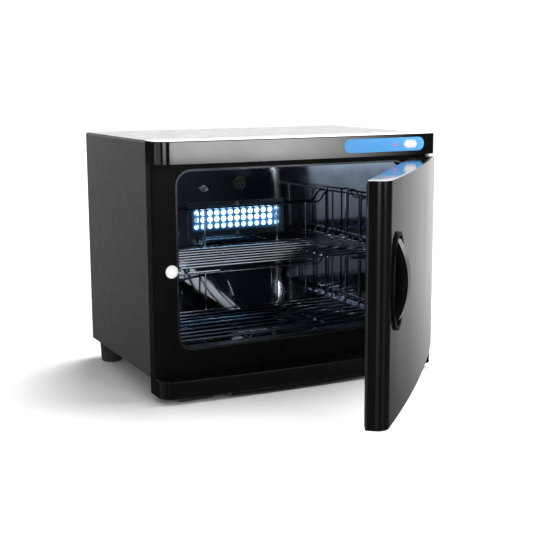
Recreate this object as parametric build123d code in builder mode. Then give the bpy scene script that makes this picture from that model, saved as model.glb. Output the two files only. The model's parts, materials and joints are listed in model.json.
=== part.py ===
"""UV sterilizer cabinet for a salon: a heated towel and tool cabinet with a side-hinged door.

Frame: millimetres, +Z up, +X to the right as a user faces the door, -Y towards the user.
The origin is on the supporting surface, below the middle of the closed cabinet's plan.
The door is drawn shut and then swung open about its hinge pins to its rest position.
"""
import os
from math import asin, cos, sin, sqrt

from build123d import *

# ---- driving dimensions -------------------------------------------------------------------
WIDTH = 450.0            # overall width of casing, header and sill
CASING_DEPTH = 270.0
CASING_HEIGHT = 333.5
GROUND_GAP = 31.0        # supporting surface to the underside of the casing
HEADER_HEIGHT = 31.0
FRONT_DEPTH = 47.4       # how far header, sill and door stand ahead of the casing at their ends
BOW = 8.0                # extra stand-out of the bowed front at mid width
FRAME_DEPTH = 20.0       # front frame ahead of the casing
SILL_RISE = 2.5          # sill top above the casing underside
SILL_DROP = 22.5         # sill bottom below the casing underside
DOOR_HALF = 223.0
DOOR_GAP = 2.2           # door to header and door to sill
DOOR_STANDOFF = 1.5      # door body to front frame when shut
DOOR_REST_ANGLE = 48.3   # how far the door stands open at rest
CHAMBER_DEPTH = 195.0    # front bulkhead to the liner's back wall
OPENING_HALF = 187.0
OPENING_LOW = 40.0       # above the casing underside
OPENING_HIGH = 290.0
OPENING_RADIUS = 20.0
SHEET = 0.8              # steel sheet
PLASTIC = 2.5            # moulded wall
WIRE_R = 1.5             # basket wire radius
FIT = 0.06               # radial running clearance of the hinge pins
PIN_R = 3.0
UPPER_FLOOR = 150.0      # basket floors above the casing underside
LOWER_FLOOR = 45.0

# ---- places worked out from them ----------------------------------------------------------
HALF = WIDTH / 2
BASE_Z = GROUND_GAP
TOP_Z = BASE_Z + CASING_HEIGHT
HEADER_Z = TOP_Z - HEADER_HEIGHT
CASE_FRONT = (FRONT_DEPTH + BOW - CASING_DEPTH) / 2
CASE_BACK = CASE_FRONT + CASING_DEPTH
FRAME_Y = CASE_FRONT - FRAME_DEPTH
FACE_END_Y = CASE_FRONT - FRONT_DEPTH
FACE_R = (HALF ** 2 + BOW ** 2) / (2 * BOW)
FACE_CY = FACE_END_Y - BOW + FACE_R
SILL_TOP = BASE_Z + SILL_RISE
SILL_BOTTOM = BASE_Z - SILL_DROP
DOOR_LOW = SILL_TOP + DOOR_GAP
DOOR_HIGH = HEADER_Z - DOOR_GAP
DOOR_INNER_Y = FRAME_Y - DOOR_STANDOFF
PIN_X = DOOR_HALF - 10.0
PIN_Y = DOOR_INNER_Y - 14.5
HINGE = Axis((PIN_X, PIN_Y, 0), (0, 0, 1))
OPEN_LOW = BASE_Z + OPENING_LOW
OPEN_HIGH = BASE_Z + OPENING_HIGH
LINER_HALF = OPENING_HALF + 4
LINER_RADIUS = 5.0
LINER_LOW = OPEN_LOW - 4
LINER_HIGH = OPEN_HIGH + 4
LINER_FRONT = CASE_FRONT + SHEET
LINER_BACK = CASE_FRONT + CHAMBER_DEPTH

os.makedirs("parts", exist_ok=True)


def save(piece, name):
    """Label a finished piece and write it under its own name."""
    piece.part.label = name
    export_step(piece.part, f"parts/{name}.step")


def save_on_door(piece, name):
    """The same for a piece of the door, swung open about the hinge pins."""
    opened = piece.part.rotate(HINGE, DOOR_REST_ANGLE)
    opened.label = name
    export_step(opened, f"parts/{name}.step")


def block(x, y, z, mode=Mode.ADD):
    """A box between two values on each axis."""
    with BuildSketch(Plane.XY.offset(z[0])) as footprint:
        with Locations(((x[0] + x[1]) / 2, (y[0] + y[1]) / 2)):
            Rectangle(x[1] - x[0], y[1] - y[0])
    extrude(footprint.sketch, amount=z[1] - z[0], mode=mode)


def bar(start, direction, length, radius=WIRE_R, mode=Mode.ADD):
    """A round bar from a point along a direction."""
    with BuildSketch(Plane(origin=start, z_dir=direction)) as section:
        Circle(radius)
    extrude(section.sketch, amount=length, mode=mode)


def window(half, low, high, radius, y, depth, mode=Mode.ADD):
    """A prism with a rounded rectangular outline, from y backwards."""
    with BuildSketch(Plane(origin=(0, y, (low + high) / 2), x_dir=(1, 0, 0), z_dir=(0, 1, 0))) as outline:
        RectangleRounded(2 * half, high - low, radius)
    extrude(outline.sketch, amount=depth, mode=mode)


def face_y(x, inset=0.0):
    """Where the bowed front lies at x, moved inwards by inset."""
    return FACE_CY - sqrt((FACE_R - inset) ** 2 - x ** 2)


def face_plane(x, z, inset=0.0):
    """A plane on the bowed front: local X along it, local Z straight out of it."""
    lean = asin(x / FACE_R)
    return Plane(
        origin=(x + inset * -sin(lean), face_y(x) + inset * cos(lean), z),
        x_dir=(cos(lean), sin(lean), 0),
        z_dir=(sin(lean), -cos(lean), 0),
    )


def bowed_outline(left, right, back, inset=0.0):
    """A plan outline: flat back, straight ends and the bowed front."""
    middle = (left + right) / 2
    with BuildLine() as outline:
        Polyline((left, face_y(left, inset)), (left, back), (right, back), (right, face_y(right, inset)))
        ThreePointArc(
            (right, face_y(right, inset)),
            (middle, face_y(middle, inset)),
            (left, face_y(left, inset)),
        )
    make_face(outline.line)


def front_corners(sketch):
    """The two front vertices of a plan outline."""
    return sketch.vertices().sort_by(Axis.Y)[:2]


# ---- cabinet shell ------------------------------------------------------------------------
CASING_BEND = 4.0

with BuildPart() as outer_casing:
    with BuildSketch(Plane.XZ.offset(-CASE_FRONT)):
        with Locations((0, (BASE_Z + TOP_Z) / 2)):
            Rectangle(WIDTH, CASING_HEIGHT)
    extrude(amount=-CASING_DEPTH)
    roof_edges = outer_casing.edges().filter_by(Axis.Y).group_by(Axis.Z)[-1]
    fillet(roof_edges, CASING_BEND)
    with BuildSketch(Plane.XZ.offset(-CASE_FRONT)):
        with Locations((0, (BASE_Z + TOP_Z - SHEET) / 2)):
            Rectangle(WIDTH - 2 * SHEET, CASING_HEIGHT - SHEET)
    extrude(amount=-CASING_DEPTH, mode=Mode.SUBTRACT)
save(outer_casing, "outer_casing")

INNER_HALF = HALF - SHEET
BACK_PANEL_Y = CASE_BACK - SHEET
VENT_ROWS = 5
VENT_PITCH = 9.0
SCREW_R = 1.5
REAR_SCREWS = [(x, z) for x in (-210, 0, 210) for z in (BASE_Z + 12, TOP_Z - 14)]
INLET_X = 150.0
INLET_Z = BASE_Z + 60
INLET_W = 27.4
INLET_H = 20.0

with BuildPart() as rear_panel:
    block((-INNER_HALF, INNER_HALF), (BACK_PANEL_Y, CASE_BACK), (BASE_Z + SHEET, TOP_Z - SHEET - 0.2))
    vent_plane = Plane(origin=(0, BACK_PANEL_Y, 0), x_dir=(1, 0, 0), z_dir=(0, -1, 0))
    with BuildSketch(vent_plane):
        with Locations((-110, TOP_Z - 70), (110, TOP_Z - 70), (-60, BASE_Z + 55)):
            with GridLocations(0, VENT_PITCH, 1, VENT_ROWS):
                SlotOverall(70, 3.5)
        with Locations((INLET_X, INLET_Z)):
            Rectangle(INLET_W, INLET_H)
        with Locations(*REAR_SCREWS):
            Circle(SCREW_R)
    extrude(amount=-SHEET, mode=Mode.SUBTRACT)
save(rear_panel, "rear_panel")

REAR_FOOT_X = 205.0
REAR_FOOT_Y = CASE_FRONT + 233.0

with BuildPart() as base_plate:
    block((-INNER_HALF, INNER_HALF), (LINER_FRONT, CASE_BACK), (BASE_Z, BASE_Z + SHEET))
    with BuildSketch(Plane.XY.offset(BASE_Z)):
        with Locations((0, CASE_BACK - 35)):
            with GridLocations(16, 0, 14, 1):
                SlotOverall(40, 4, rotation=90)
        with Locations((-REAR_FOOT_X, REAR_FOOT_Y), (REAR_FOOT_X, REAR_FOOT_Y)):
            Circle(SCREW_R)
    extrude(amount=SHEET, mode=Mode.SUBTRACT)
save(base_plate, "base_plate")

with BuildPart() as front_bulkhead:
    block((-INNER_HALF, INNER_HALF), (CASE_FRONT, LINER_FRONT), (BASE_Z, TOP_Z - SHEET - 0.2))
    window(LINER_HALF, LINER_LOW, LINER_HIGH, OPENING_RADIUS + 4, CASE_FRONT, SHEET, Mode.SUBTRACT)
save(front_bulkhead, "front_bulkhead")

# ---- front frame round the opening --------------------------------------------------------
POST_RADIUS = 3.0
FRAME_SKIN = 3.0
FRAME_TOP = HEADER_Z
PLUNGER_X = -197.0
PLUNGER_Z = BASE_Z + 152
PLUNGER_R = 9.2
PLUNGER_BORE = PLUNGER_R + 0.35
TRIM_W = 3.0
TRIM_PROUD = 0.3

with BuildPart() as front_frame:
    block((-HALF, HALF), (FRAME_Y, CASE_FRONT), (SILL_TOP, FRAME_TOP))
    front_edges = front_frame.edges().filter_by(Axis.Z).group_by(Axis.Y)[0]
    fillet(front_edges, POST_RADIUS)
    block(
        (-HALF + FRAME_SKIN, HALF - FRAME_SKIN),
        (FRAME_Y + FRAME_SKIN, CASE_FRONT),
        (SILL_TOP + FRAME_SKIN, FRAME_TOP - FRAME_SKIN),
        Mode.SUBTRACT,
    )
    window(OPENING_HALF + 6, OPEN_LOW - 6, OPEN_HIGH + 6, OPENING_RADIUS + 6, FRAME_Y + FRAME_SKIN,
           FRAME_DEPTH - FRAME_SKIN)
    window(OPENING_HALF + TRIM_W, OPEN_LOW - TRIM_W, OPEN_HIGH + TRIM_W, OPENING_RADIUS + TRIM_W, FRAME_Y,
           FRAME_DEPTH, Mode.SUBTRACT)
    bar((PLUNGER_X, FRAME_Y, PLUNGER_Z), (0, 1, 0), FRAME_DEPTH, PLUNGER_BORE, Mode.SUBTRACT)
save(front_frame, "front_frame")

with BuildPart() as opening_trim:
    window(OPENING_HALF + TRIM_W, OPEN_LOW - TRIM_W, OPEN_HIGH + TRIM_W, OPENING_RADIUS + TRIM_W,
           FRAME_Y - TRIM_PROUD, FRAME_DEPTH + TRIM_PROUD)
    window(OPENING_HALF, OPEN_LOW, OPEN_HIGH, OPENING_RADIUS, FRAME_Y - TRIM_PROUD,
           FRAME_DEPTH + TRIM_PROUD, Mode.SUBTRACT)
    bar((PLUNGER_X, FRAME_Y - TRIM_PROUD, PLUNGER_Z), (0, 1, 0), FRAME_DEPTH + TRIM_PROUD, PLUNGER_BORE + 1,
        Mode.SUBTRACT)
save(opening_trim, "opening_trim")

# ---- header, with label, indicator and power switch ---------------------------------------
HEADER_CORNER = 18.0
HEADER_RIM = 1.5
LABEL_LENGTH = 141.0
LABEL_HEIGHT = 20.0
LABEL_X = 127.5
LABEL_Z = BASE_Z + 318.7
LABEL_T = 0.4
LENS_X = 145.0
LENS_R = 2.0
ROCKER_X = 172.5
ROCKER_W = 20.0
ROCKER_H = 9.0
ROCKER_GAP = 0.6
SWITCH_RIM = 1.6
SWITCH_DEPTH = 20.0
ROCKER_CAVITY = 8.0
ROCKER_PIVOT_INSET = 1.5

with BuildPart() as header_housing:
    with BuildSketch(Plane.XY.offset(HEADER_Z)) as header_plan:
        bowed_outline(-HALF, HALF, CASE_FRONT)
        fillet(front_corners(header_plan), HEADER_CORNER)
    extrude(amount=HEADER_HEIGHT)
    top_edges = header_housing.edges().group_by(Axis.Z)[-1]
    fillet(top_edges.filter_by(lambda edge: edge.center().Y < CASE_FRONT - 1), HEADER_RIM)
    with BuildSketch(Plane.XY.offset(HEADER_Z + PLASTIC)) as header_core:
        bowed_outline(-HALF + PLASTIC, HALF - PLASTIC, CASE_FRONT, PLASTIC)
        fillet(front_corners(header_core), HEADER_CORNER - PLASTIC)
    extrude(amount=HEADER_HEIGHT - 2 * PLASTIC, mode=Mode.SUBTRACT)
    with BuildSketch(face_plane(ROCKER_X, LABEL_Z, 6)):
        SlotOverall(ROCKER_W + 2 * SWITCH_RIM, ROCKER_H + 2 * SWITCH_RIM)
    extrude(amount=12, mode=Mode.SUBTRACT)
    with BuildSketch(face_plane(LENS_X, LABEL_Z, 6)):
        Circle(LENS_R)
    extrude(amount=12, mode=Mode.SUBTRACT)
    bar((PIN_X, PIN_Y, HEADER_Z), (0, 0, 1), PLASTIC, PIN_R + 0.3, Mode.SUBTRACT)
save(header_housing, "header_housing")

with BuildPart() as control_label:
    with BuildSketch(Plane.XY.offset(LABEL_Z - LABEL_HEIGHT)):
        bowed_outline(LABEL_X - LABEL_LENGTH, LABEL_X + LABEL_LENGTH / 1.6, FACE_END_Y + 20, -LABEL_T)
    extrude(amount=2 * LABEL_HEIGHT)
    with BuildSketch(Plane.XY.offset(LABEL_Z - LABEL_HEIGHT)):
        bowed_outline(LABEL_X - LABEL_LENGTH, LABEL_X + LABEL_LENGTH / 1.6, FACE_END_Y + 20, 0)
    extrude(amount=2 * LABEL_HEIGHT, mode=Mode.SUBTRACT)
    with BuildSketch(Plane(origin=(LABEL_X, FACE_END_Y + 20, LABEL_Z), x_dir=(1, 0, 0), z_dir=(0, -1, 0))):
        SlotOverall(LABEL_LENGTH, LABEL_HEIGHT)
    extrude(amount=50, mode=Mode.INTERSECT)
    with BuildSketch(face_plane(ROCKER_X, LABEL_Z, 6)):
        SlotOverall(ROCKER_W + 2 * SWITCH_RIM, ROCKER_H + 2 * SWITCH_RIM)
    extrude(amount=12, mode=Mode.SUBTRACT)
    with BuildSketch(face_plane(LENS_X, LABEL_Z, 6)):
        Circle(LENS_R)
    extrude(amount=12, mode=Mode.SUBTRACT)
save(control_label, "control_label")

with BuildPart() as indicator_lens:
    with BuildSketch(face_plane(LENS_X, LABEL_Z, 8)):
        Circle(LENS_R)
    extrude(amount=8 + 1.4)
    tip = indicator_lens.edges().filter_by(GeomType.CIRCLE).sort_by(Axis.Y)[0]
    fillet(tip, 1.2)
save(indicator_lens, "indicator_lens")

with BuildPart() as switch_body:
    with BuildSketch(face_plane(ROCKER_X, LABEL_Z, SWITCH_DEPTH)):
        SlotOverall(ROCKER_W + 2 * SWITCH_RIM, ROCKER_H + 2 * SWITCH_RIM)
    extrude(amount=SWITCH_DEPTH + 1.0)
    with BuildSketch(face_plane(ROCKER_X, LABEL_Z, ROCKER_CAVITY)):
        SlotOverall(ROCKER_W + 2 * ROCKER_GAP, ROCKER_H + 2 * ROCKER_GAP)
    extrude(amount=ROCKER_CAVITY + 2, mode=Mode.SUBTRACT)
save(switch_body, "switch_body")

with BuildPart() as power_rocker:
    with BuildSketch(face_plane(ROCKER_X, LABEL_Z, 5.0)):
        SlotOverall(ROCKER_W, ROCKER_H)
    extrude(amount=5.0 + 2.2)
    cap_edges = power_rocker.faces().sort_by(Axis.Y)[0].edges()
    fillet(cap_edges, 1.2)
save(power_rocker, "power_rocker")

# ---- sill and drip tray -------------------------------------------------------------------
SILL_CORNER = 18.0
FOOT_X = 171.0
FOOT_W = 53.0
FOOT_Y = (CASE_FRONT - 40, CASE_FRONT - 12)
TRAY_HALF = 125.0
TRAY_TOP = SILL_BOTTOM - 0.5
TRAY_BOTTOM = TRAY_TOP - 3.6
TRAY_BACK = CASE_FRONT + 12
GUTTER_HALF = 200.0
GUIDE_X = TRAY_HALF + 0.6

with BuildPart() as sill:
    with BuildSketch(Plane.XY.offset(SILL_BOTTOM)) as sill_plan:
        bowed_outline(-HALF, HALF, CASE_FRONT)
        fillet(front_corners(sill_plan), SILL_CORNER)
    extrude(amount=SILL_TOP - SILL_BOTTOM)
    lip_edges = sill.edges().group_by(Axis.Z)[-1].filter_by(lambda e: e.center().Y < CASE_FRONT - 1)
    fillet(lip_edges, 1.5)
    with BuildSketch(Plane.XY.offset(SILL_BOTTOM)) as sill_core:
        bowed_outline(-HALF + PLASTIC, HALF - PLASTIC, CASE_FRONT, PLASTIC)
        fillet(front_corners(sill_core), SILL_CORNER - PLASTIC)
    extrude(amount=SILL_TOP - SILL_BOTTOM - PLASTIC, mode=Mode.SUBTRACT)
    block((-GUTTER_HALF, GUTTER_HALF), (FRAME_Y - 14, FRAME_Y - 6), (SILL_TOP - 1.2, SILL_TOP + 1),
          Mode.SUBTRACT)
    with BuildSketch(Plane.XY.offset(SILL_TOP - PLASTIC)):
        with Locations((0, FRAME_Y - 10)):
            with GridLocations(60, 0, 5, 1):
                SlotOverall(12, 3)
    extrude(amount=PLASTIC, mode=Mode.SUBTRACT)
    for side in (-1, 1):
        block(
            (side * FOOT_X - FOOT_W / 2 - 3, side * FOOT_X + FOOT_W / 2 + 3),
            (FOOT_Y[0] - 3, FOOT_Y[1] + 3),
            (SILL_BOTTOM, SILL_TOP - PLASTIC),
        )
        block(
            (side * FOOT_X - FOOT_W / 2 + 6, side * FOOT_X + FOOT_W / 2 - 6),
            (FOOT_Y[0] + 4, FOOT_Y[1] - 4),
            (SILL_BOTTOM + 8, SILL_TOP - PLASTIC - 2),
            Mode.SUBTRACT,
        )
    bar((PIN_X, PIN_Y, SILL_TOP - PLASTIC), (0, 0, 1), PLASTIC, PIN_R + 0.3, Mode.SUBTRACT)
    for side in (-1, 1):
        guide = sorted((side * GUIDE_X, side * (GUIDE_X + 3)))
        block(guide, (CASE_FRONT - 34, CASE_FRONT), (TRAY_BOTTOM + 0.2, SILL_TOP - PLASTIC))
        block(sorted((side * (GUIDE_X - 4), side * (GUIDE_X + 3))), (CASE_FRONT - 34, CASE_FRONT),
              (TRAY_BOTTOM - 1.4, TRAY_BOTTOM - 0.3))
        block(guide, (CASE_FRONT - 34, CASE_FRONT), (TRAY_BOTTOM - 1.4, TRAY_BOTTOM + 0.2))
save(sill, "sill")

with BuildPart() as drip_tray:
    with BuildSketch(Plane.XY.offset(TRAY_BOTTOM)):
        bowed_outline(-TRAY_HALF, TRAY_HALF, TRAY_BACK, 0.2)
    extrude(amount=TRAY_TOP - TRAY_BOTTOM)
    end_edges = drip_tray.edges().group_by(Axis.Z)[0].filter_by(Axis.Y)
    chamfer(end_edges, 3.0)
    with BuildSketch(Plane.XY.offset(TRAY_BOTTOM + 1.2)):
        bowed_outline(-TRAY_HALF + 6, TRAY_HALF - 6, TRAY_BACK - 2, 2.5)
    extrude(amount=TRAY_TOP - TRAY_BOTTOM, mode=Mode.SUBTRACT)
save(drip_tray, "drip_tray")

# ---- feet ---------------------------------------------------------------------------------
for side, name in ((-1, "front_foot_left"), (1, "front_foot_right")):
    with BuildPart() as front_foot:
        block((side * FOOT_X - FOOT_W / 2, side * FOOT_X + FOOT_W / 2), FOOT_Y, (0, SILL_BOTTOM))
        sole_edges = front_foot.faces().sort_by(Axis.Z)[0].edges()
        chamfer(sole_edges, 3.0)
        upright_edges = front_foot.edges().filter_by(Axis.Z)
        fillet(upright_edges, 1.5)
    save(front_foot, name)

REAR_FOOT_TOP_R = 18.5
REAR_FOOT_SOLE_R = 16.5
for side, name in ((-1, "rear_foot_left"), (1, "rear_foot_right")):
    with BuildPart() as rear_foot:
        with BuildSketch(Plane.XY):
            with Locations((side * REAR_FOOT_X, REAR_FOOT_Y)):
                Circle(REAR_FOOT_SOLE_R)
        with BuildSketch(Plane.XY.offset(BASE_Z)):
            with Locations((side * REAR_FOOT_X, REAR_FOOT_Y)):
                Circle(REAR_FOOT_TOP_R)
        loft()
        chamfer(rear_foot.edges().group_by(Axis.Z)[0], 1.0)
        bar((side * REAR_FOOT_X, REAR_FOOT_Y, 0), (0, 0, 1), 8, 5.0, Mode.SUBTRACT)
        bar((side * REAR_FOOT_X, REAR_FOOT_Y, 8), (0, 0, 1), BASE_Z - 8, SCREW_R, Mode.SUBTRACT)
    save(rear_foot, name)

# ---- chamber: liner, insulation, heater and controls --------------------------------------
LAMP_X = 2.0
LAMP_Z = BASE_Z + 191.5
FITTING_X = 7.0
FITTING_Z = BASE_Z + 248
PROBE_X = -57.0
PROBE_Z = BASE_Z + 242

with BuildPart() as inner_liner:
    window(LINER_HALF + SHEET, LINER_LOW - SHEET, LINER_HIGH + SHEET, LINER_RADIUS + SHEET, LINER_FRONT,
           LINER_BACK - LINER_FRONT + SHEET)
    window(LINER_HALF + 14, LINER_LOW - 14, LINER_HIGH + 14, OPENING_RADIUS + 8, LINER_FRONT, SHEET)
    window(LINER_HALF, LINER_LOW, LINER_HIGH, LINER_RADIUS, LINER_FRONT, LINER_BACK - LINER_FRONT,
           Mode.SUBTRACT)
    block((LAMP_X - 80, LAMP_X + 80), (LINER_BACK - 1, LINER_BACK + 2), (LAMP_Z - 18.5, LAMP_Z + 18.5),
          Mode.SUBTRACT)
    bar((FITTING_X, LINER_BACK - 1, FITTING_Z), (0, 1, 0), 4, 7.0, Mode.SUBTRACT)
    bar((PROBE_X, LINER_BACK - 1, PROBE_Z), (0, 1, 0), 4, 3.0, Mode.SUBTRACT)
save(inner_liner, "inner_liner")

INSULATION_GAP = 1.5
with BuildPart() as chamber_insulation:
    window(INNER_HALF - 2, BASE_Z + 4, TOP_Z - 6, 4, LINER_FRONT + 3, CHAMBER_DEPTH - 10)
    window(LINER_HALF + SHEET + INSULATION_GAP, LINER_LOW - SHEET - 5, LINER_HIGH + SHEET + INSULATION_GAP,
           LINER_RADIUS, LINER_FRONT + 3, CHAMBER_DEPTH - 10, Mode.SUBTRACT)
save(chamber_insulation, "chamber_insulation")

with BuildPart() as heater_mat:
    block((-150, 150), (LINER_FRONT + 30, LINER_BACK - 30), (LINER_LOW - SHEET - 2.5, LINER_LOW - SHEET))
save(heater_mat, "heater_mat")

CONTROL_Y = LINER_BACK + SHEET
with BuildPart() as thermostat:
    bar((70, CONTROL_Y, BASE_Z + 75), (0, 1, 0), 9, 8.5)
    block((62, 78), (CONTROL_Y + 9, CONTROL_Y + 15), (BASE_Z + 73.5, BASE_Z + 76.5))
save(thermostat, "thermostat")

with BuildPart() as thermal_cutout:
    bar((110, CONTROL_Y, BASE_Z + 75), (0, 1, 0), 7, 6.5)
    block((104, 116), (CONTROL_Y + 7, CONTROL_Y + 12), (BASE_Z + 74, BASE_Z + 76))
save(thermal_cutout, "thermal_cutout")

with BuildPart() as vent_fitting:
    bar((FITTING_X, LINER_BACK - 3, FITTING_Z), (0, 1, 0), 3, 10.5)
    bar((FITTING_X, LINER_BACK, FITTING_Z), (0, 1, 0), 12, 7.0)
    vent_face = Plane(origin=(FITTING_X, LINER_BACK - 3, FITTING_Z), x_dir=(1, 0, 0), z_dir=(0, 1, 0))
    with BuildSketch(vent_face):
        with PolarLocations(5.2, 4, 45):
            Circle(2.1)
    extrude(amount=15, mode=Mode.SUBTRACT)
save(vent_fitting, "vent_fitting")

with BuildPart() as temperature_probe:
    bar((PROBE_X, LINER_BACK - 14, PROBE_Z), (0, 1, 0), 26, 3.0)
    bar((PROBE_X, LINER_BACK - 3, PROBE_Z), (0, 1, 0), 3, 5.5)
save(temperature_probe, "temperature_probe")

# ---- germicidal lamp ----------------------------------------------------------------------
TUBE_R = 7.75
TUBE_LENGTH = 135.0
TUBE_Y = LINER_BACK + 15
GUARD_HALF_W = 86.0
GUARD_HALF_H = 28.0
HOLE_COLUMNS = 13
HOLE_ROWS = 3
HOLE_PITCH_X = 12.0
HOLE_PITCH_Z = 10.8
HOLE_R = 4.3
GUARD_SCREW_RISE = 24.0

with BuildPart() as lamp_guard:
    block((LAMP_X - GUARD_HALF_W, LAMP_X + GUARD_HALF_W), (LINER_BACK - SHEET, LINER_BACK),
          (LAMP_Z - GUARD_HALF_H, LAMP_Z + GUARD_HALF_H))
    with BuildSketch(Plane(origin=(LAMP_X, LINER_BACK, LAMP_Z), x_dir=(1, 0, 0), z_dir=(0, -1, 0))):
        with GridLocations(HOLE_PITCH_X, HOLE_PITCH_Z, HOLE_COLUMNS, HOLE_ROWS):
            Circle(HOLE_R)
    extrude(amount=SHEET, mode=Mode.SUBTRACT)
save(lamp_guard, "lamp_guard")

with BuildPart() as guard_screws:
    for rise in (-GUARD_SCREW_RISE, GUARD_SCREW_RISE):
        bar((LAMP_X, LINER_BACK - SHEET - 2, LAMP_Z + rise), (0, 1, 0), 2, 3.2)
save(guard_screws, "guard_screws")

with BuildPart() as lamp_reflector:
    block((LAMP_X - 88, LAMP_X + 88), (LINER_BACK + SHEET, LINER_BACK + 28), (LAMP_Z - 22, LAMP_Z + 22))
    block((LAMP_X - 87, LAMP_X + 87), (LINER_BACK + SHEET, LINER_BACK + 27), (LAMP_Z - 21, LAMP_Z + 21),
          Mode.SUBTRACT)
save(lamp_reflector, "lamp_reflector")

with BuildPart() as uv_lamp_tube:
    bar((LAMP_X - TUBE_LENGTH / 2, TUBE_Y, LAMP_Z), (1, 0, 0), TUBE_LENGTH, TUBE_R)
    chamfer(uv_lamp_tube.edges().filter_by(GeomType.CIRCLE), 1.0)
save(uv_lamp_tube, "uv_lamp_tube")

with BuildPart() as lamp_holders:
    for side in (-1, 1):
        end = LAMP_X + side * TUBE_LENGTH / 2
        block(sorted((end, end + side * 12)), (TUBE_Y - 9, LINER_BACK + 27), (LAMP_Z - 10, LAMP_Z + 10))
save(lamp_holders, "lamp_holders")

with BuildPart() as lamp_ballast:
    block((-160, -70), (LINER_BACK + 20, LINER_BACK + 56), (BASE_Z + SHEET, BASE_Z + 30))
    fillet(lamp_ballast.edges().filter_by(Axis.X).group_by(Axis.Z)[-1], 3)
    for end in (-172, -70):
        block((end, end + 12), (LINER_BACK + 26, LINER_BACK + 50), (BASE_Z + SHEET, BASE_Z + 3))
save(lamp_ballast, "lamp_ballast")

with BuildPart() as lamp_starter:
    bar((-30, LINER_BACK + 38, BASE_Z + SHEET), (0, 0, 1), 10, 14)
    bar((-30, LINER_BACK + 38, BASE_Z + SHEET + 10), (0, 0, 1), 32, 10.5)
save(lamp_starter, "lamp_starter")

with BuildPart() as terminal_block:
    block((30, 90), (LINER_BACK + 28, LINER_BACK + 48), (BASE_Z + SHEET, BASE_Z + 17))
    with BuildSketch(Plane.XY.offset(BASE_Z + 17)):
        with Locations((60, LINER_BACK + 38)):
            with GridLocations(10, 10, 5, 2):
                Circle(2.2)
    extrude(amount=-8, mode=Mode.SUBTRACT)
save(terminal_block, "terminal_block")

with BuildPart() as mains_inlet:
    block((INLET_X - 25, INLET_X + 25), (CASE_BACK, CASE_BACK + 2), (INLET_Z - 12, INLET_Z + 12))
    fillet(mains_inlet.edges().filter_by(Axis.Y), 4)
    block((INLET_X - INLET_W / 2, INLET_X + INLET_W / 2), (CASE_BACK - 22, CASE_BACK),
          (INLET_Z - INLET_H / 2, INLET_Z + INLET_H / 2))
    block((INLET_X - 11.5, INLET_X + 11.5), (CASE_BACK - 15, CASE_BACK + 2), (INLET_Z - 8, INLET_Z + 8),
          Mode.SUBTRACT)
    for offset_x in (-7, 0, 7):
        block((INLET_X + offset_x - 1, INLET_X + offset_x + 1), (CASE_BACK - 15, CASE_BACK - 3),
              (INLET_Z - 2, INLET_Z + 2))
save(mains_inlet, "mains_inlet")

with BuildPart() as casing_screws:
    for screw_x, screw_z in REAR_SCREWS:
        bar((screw_x, CASE_BACK, screw_z), (0, 1, 0), 2, 3.4)
        bar((screw_x, CASE_BACK - 8, screw_z), (0, 1, 0), 8, SCREW_R)
    for side in (-1, 1):
        bar((side * REAR_FOOT_X, REAR_FOOT_Y, 6), (0, 0, 1), 2, 3.4)
        bar((side * REAR_FOOT_X, REAR_FOOT_Y, 8), (0, 0, 1), BASE_Z + 2 * SHEET - 8, SCREW_R)
save(casing_screws, "casing_screws")

# ---- basket runners on the side walls -----------------------------------------------------
RUNNER_T = 1.2
RUNNER_REACH = 18.0
RUNNER_FRONT = LINER_FRONT + 4
RUNNER_BACK = LINER_BACK - 3
for level, floor in (("upper", UPPER_FLOOR), ("lower", LOWER_FLOOR)):
    for side, hand in ((-1, "left"), (1, "right")):
        top = BASE_Z + floor - WIRE_R - 0.4
        wall = side * LINER_HALF
        with BuildPart() as runner:
            block(sorted((wall, wall - side * RUNNER_REACH)), (RUNNER_FRONT, RUNNER_BACK),
                  (top - RUNNER_T, top))
            block(sorted((wall, wall - side * RUNNER_T)), (RUNNER_FRONT, RUNNER_BACK), (top, top + 11))
        save(runner, f"{level}_runner_{hand}")

# ---- door interlock plunger ---------------------------------------------------------------
PLUNGER_PROUD = 3.0
PLUNGER_TRAVEL = 3.0
PLUNGER_TAIL = CASE_FRONT - 5.0

with BuildPart() as interlock_housing:
    bar((PLUNGER_X, FRAME_Y + FRAME_SKIN + 0.05, PLUNGER_Z), (0, 1, 0), FRAME_DEPTH - FRAME_SKIN - 0.1,
        PLUNGER_BORE + 1.0)
    block((PLUNGER_X - 16, PLUNGER_X - 8), (CASE_FRONT - 10, CASE_FRONT - 0.05),
          (PLUNGER_Z - 14, PLUNGER_Z + 14))
    bar((PLUNGER_X, FRAME_Y + FRAME_SKIN, PLUNGER_Z), (0, 1, 0), FRAME_DEPTH - FRAME_SKIN - 1.5,
        PLUNGER_BORE, Mode.SUBTRACT)
    window(OPENING_HALF + 6.05, OPEN_LOW, OPEN_HIGH, OPENING_RADIUS, FRAME_Y, FRAME_DEPTH, Mode.SUBTRACT)
save(interlock_housing, "interlock_housing")

with BuildPart() as interlock_plunger:
    with BuildSketch(Plane.XY.offset(PLUNGER_Z)):
        with BuildLine():
            Polyline(
                (PLUNGER_X, FRAME_Y + 3),
                (PLUNGER_X, FRAME_Y - PLUNGER_PROUD),
            )
            ThreePointArc(
                (PLUNGER_X, FRAME_Y - PLUNGER_PROUD),
                (PLUNGER_X + PLUNGER_R * 0.62, FRAME_Y - PLUNGER_PROUD * 0.70),
                (PLUNGER_X + PLUNGER_R, FRAME_Y + 0.4),
            )
            Polyline(
                (PLUNGER_X + PLUNGER_R, FRAME_Y + 0.4),
                (PLUNGER_X + PLUNGER_R, PLUNGER_TAIL),
                (PLUNGER_X + PLUNGER_R - 2, PLUNGER_TAIL),
                (PLUNGER_X + PLUNGER_R - 2, FRAME_Y + 3),
                (PLUNGER_X, FRAME_Y + 3),
            )
        make_face()
    revolve(axis=Axis((PLUNGER_X, 0, PLUNGER_Z), (0, 1, 0)))
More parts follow.
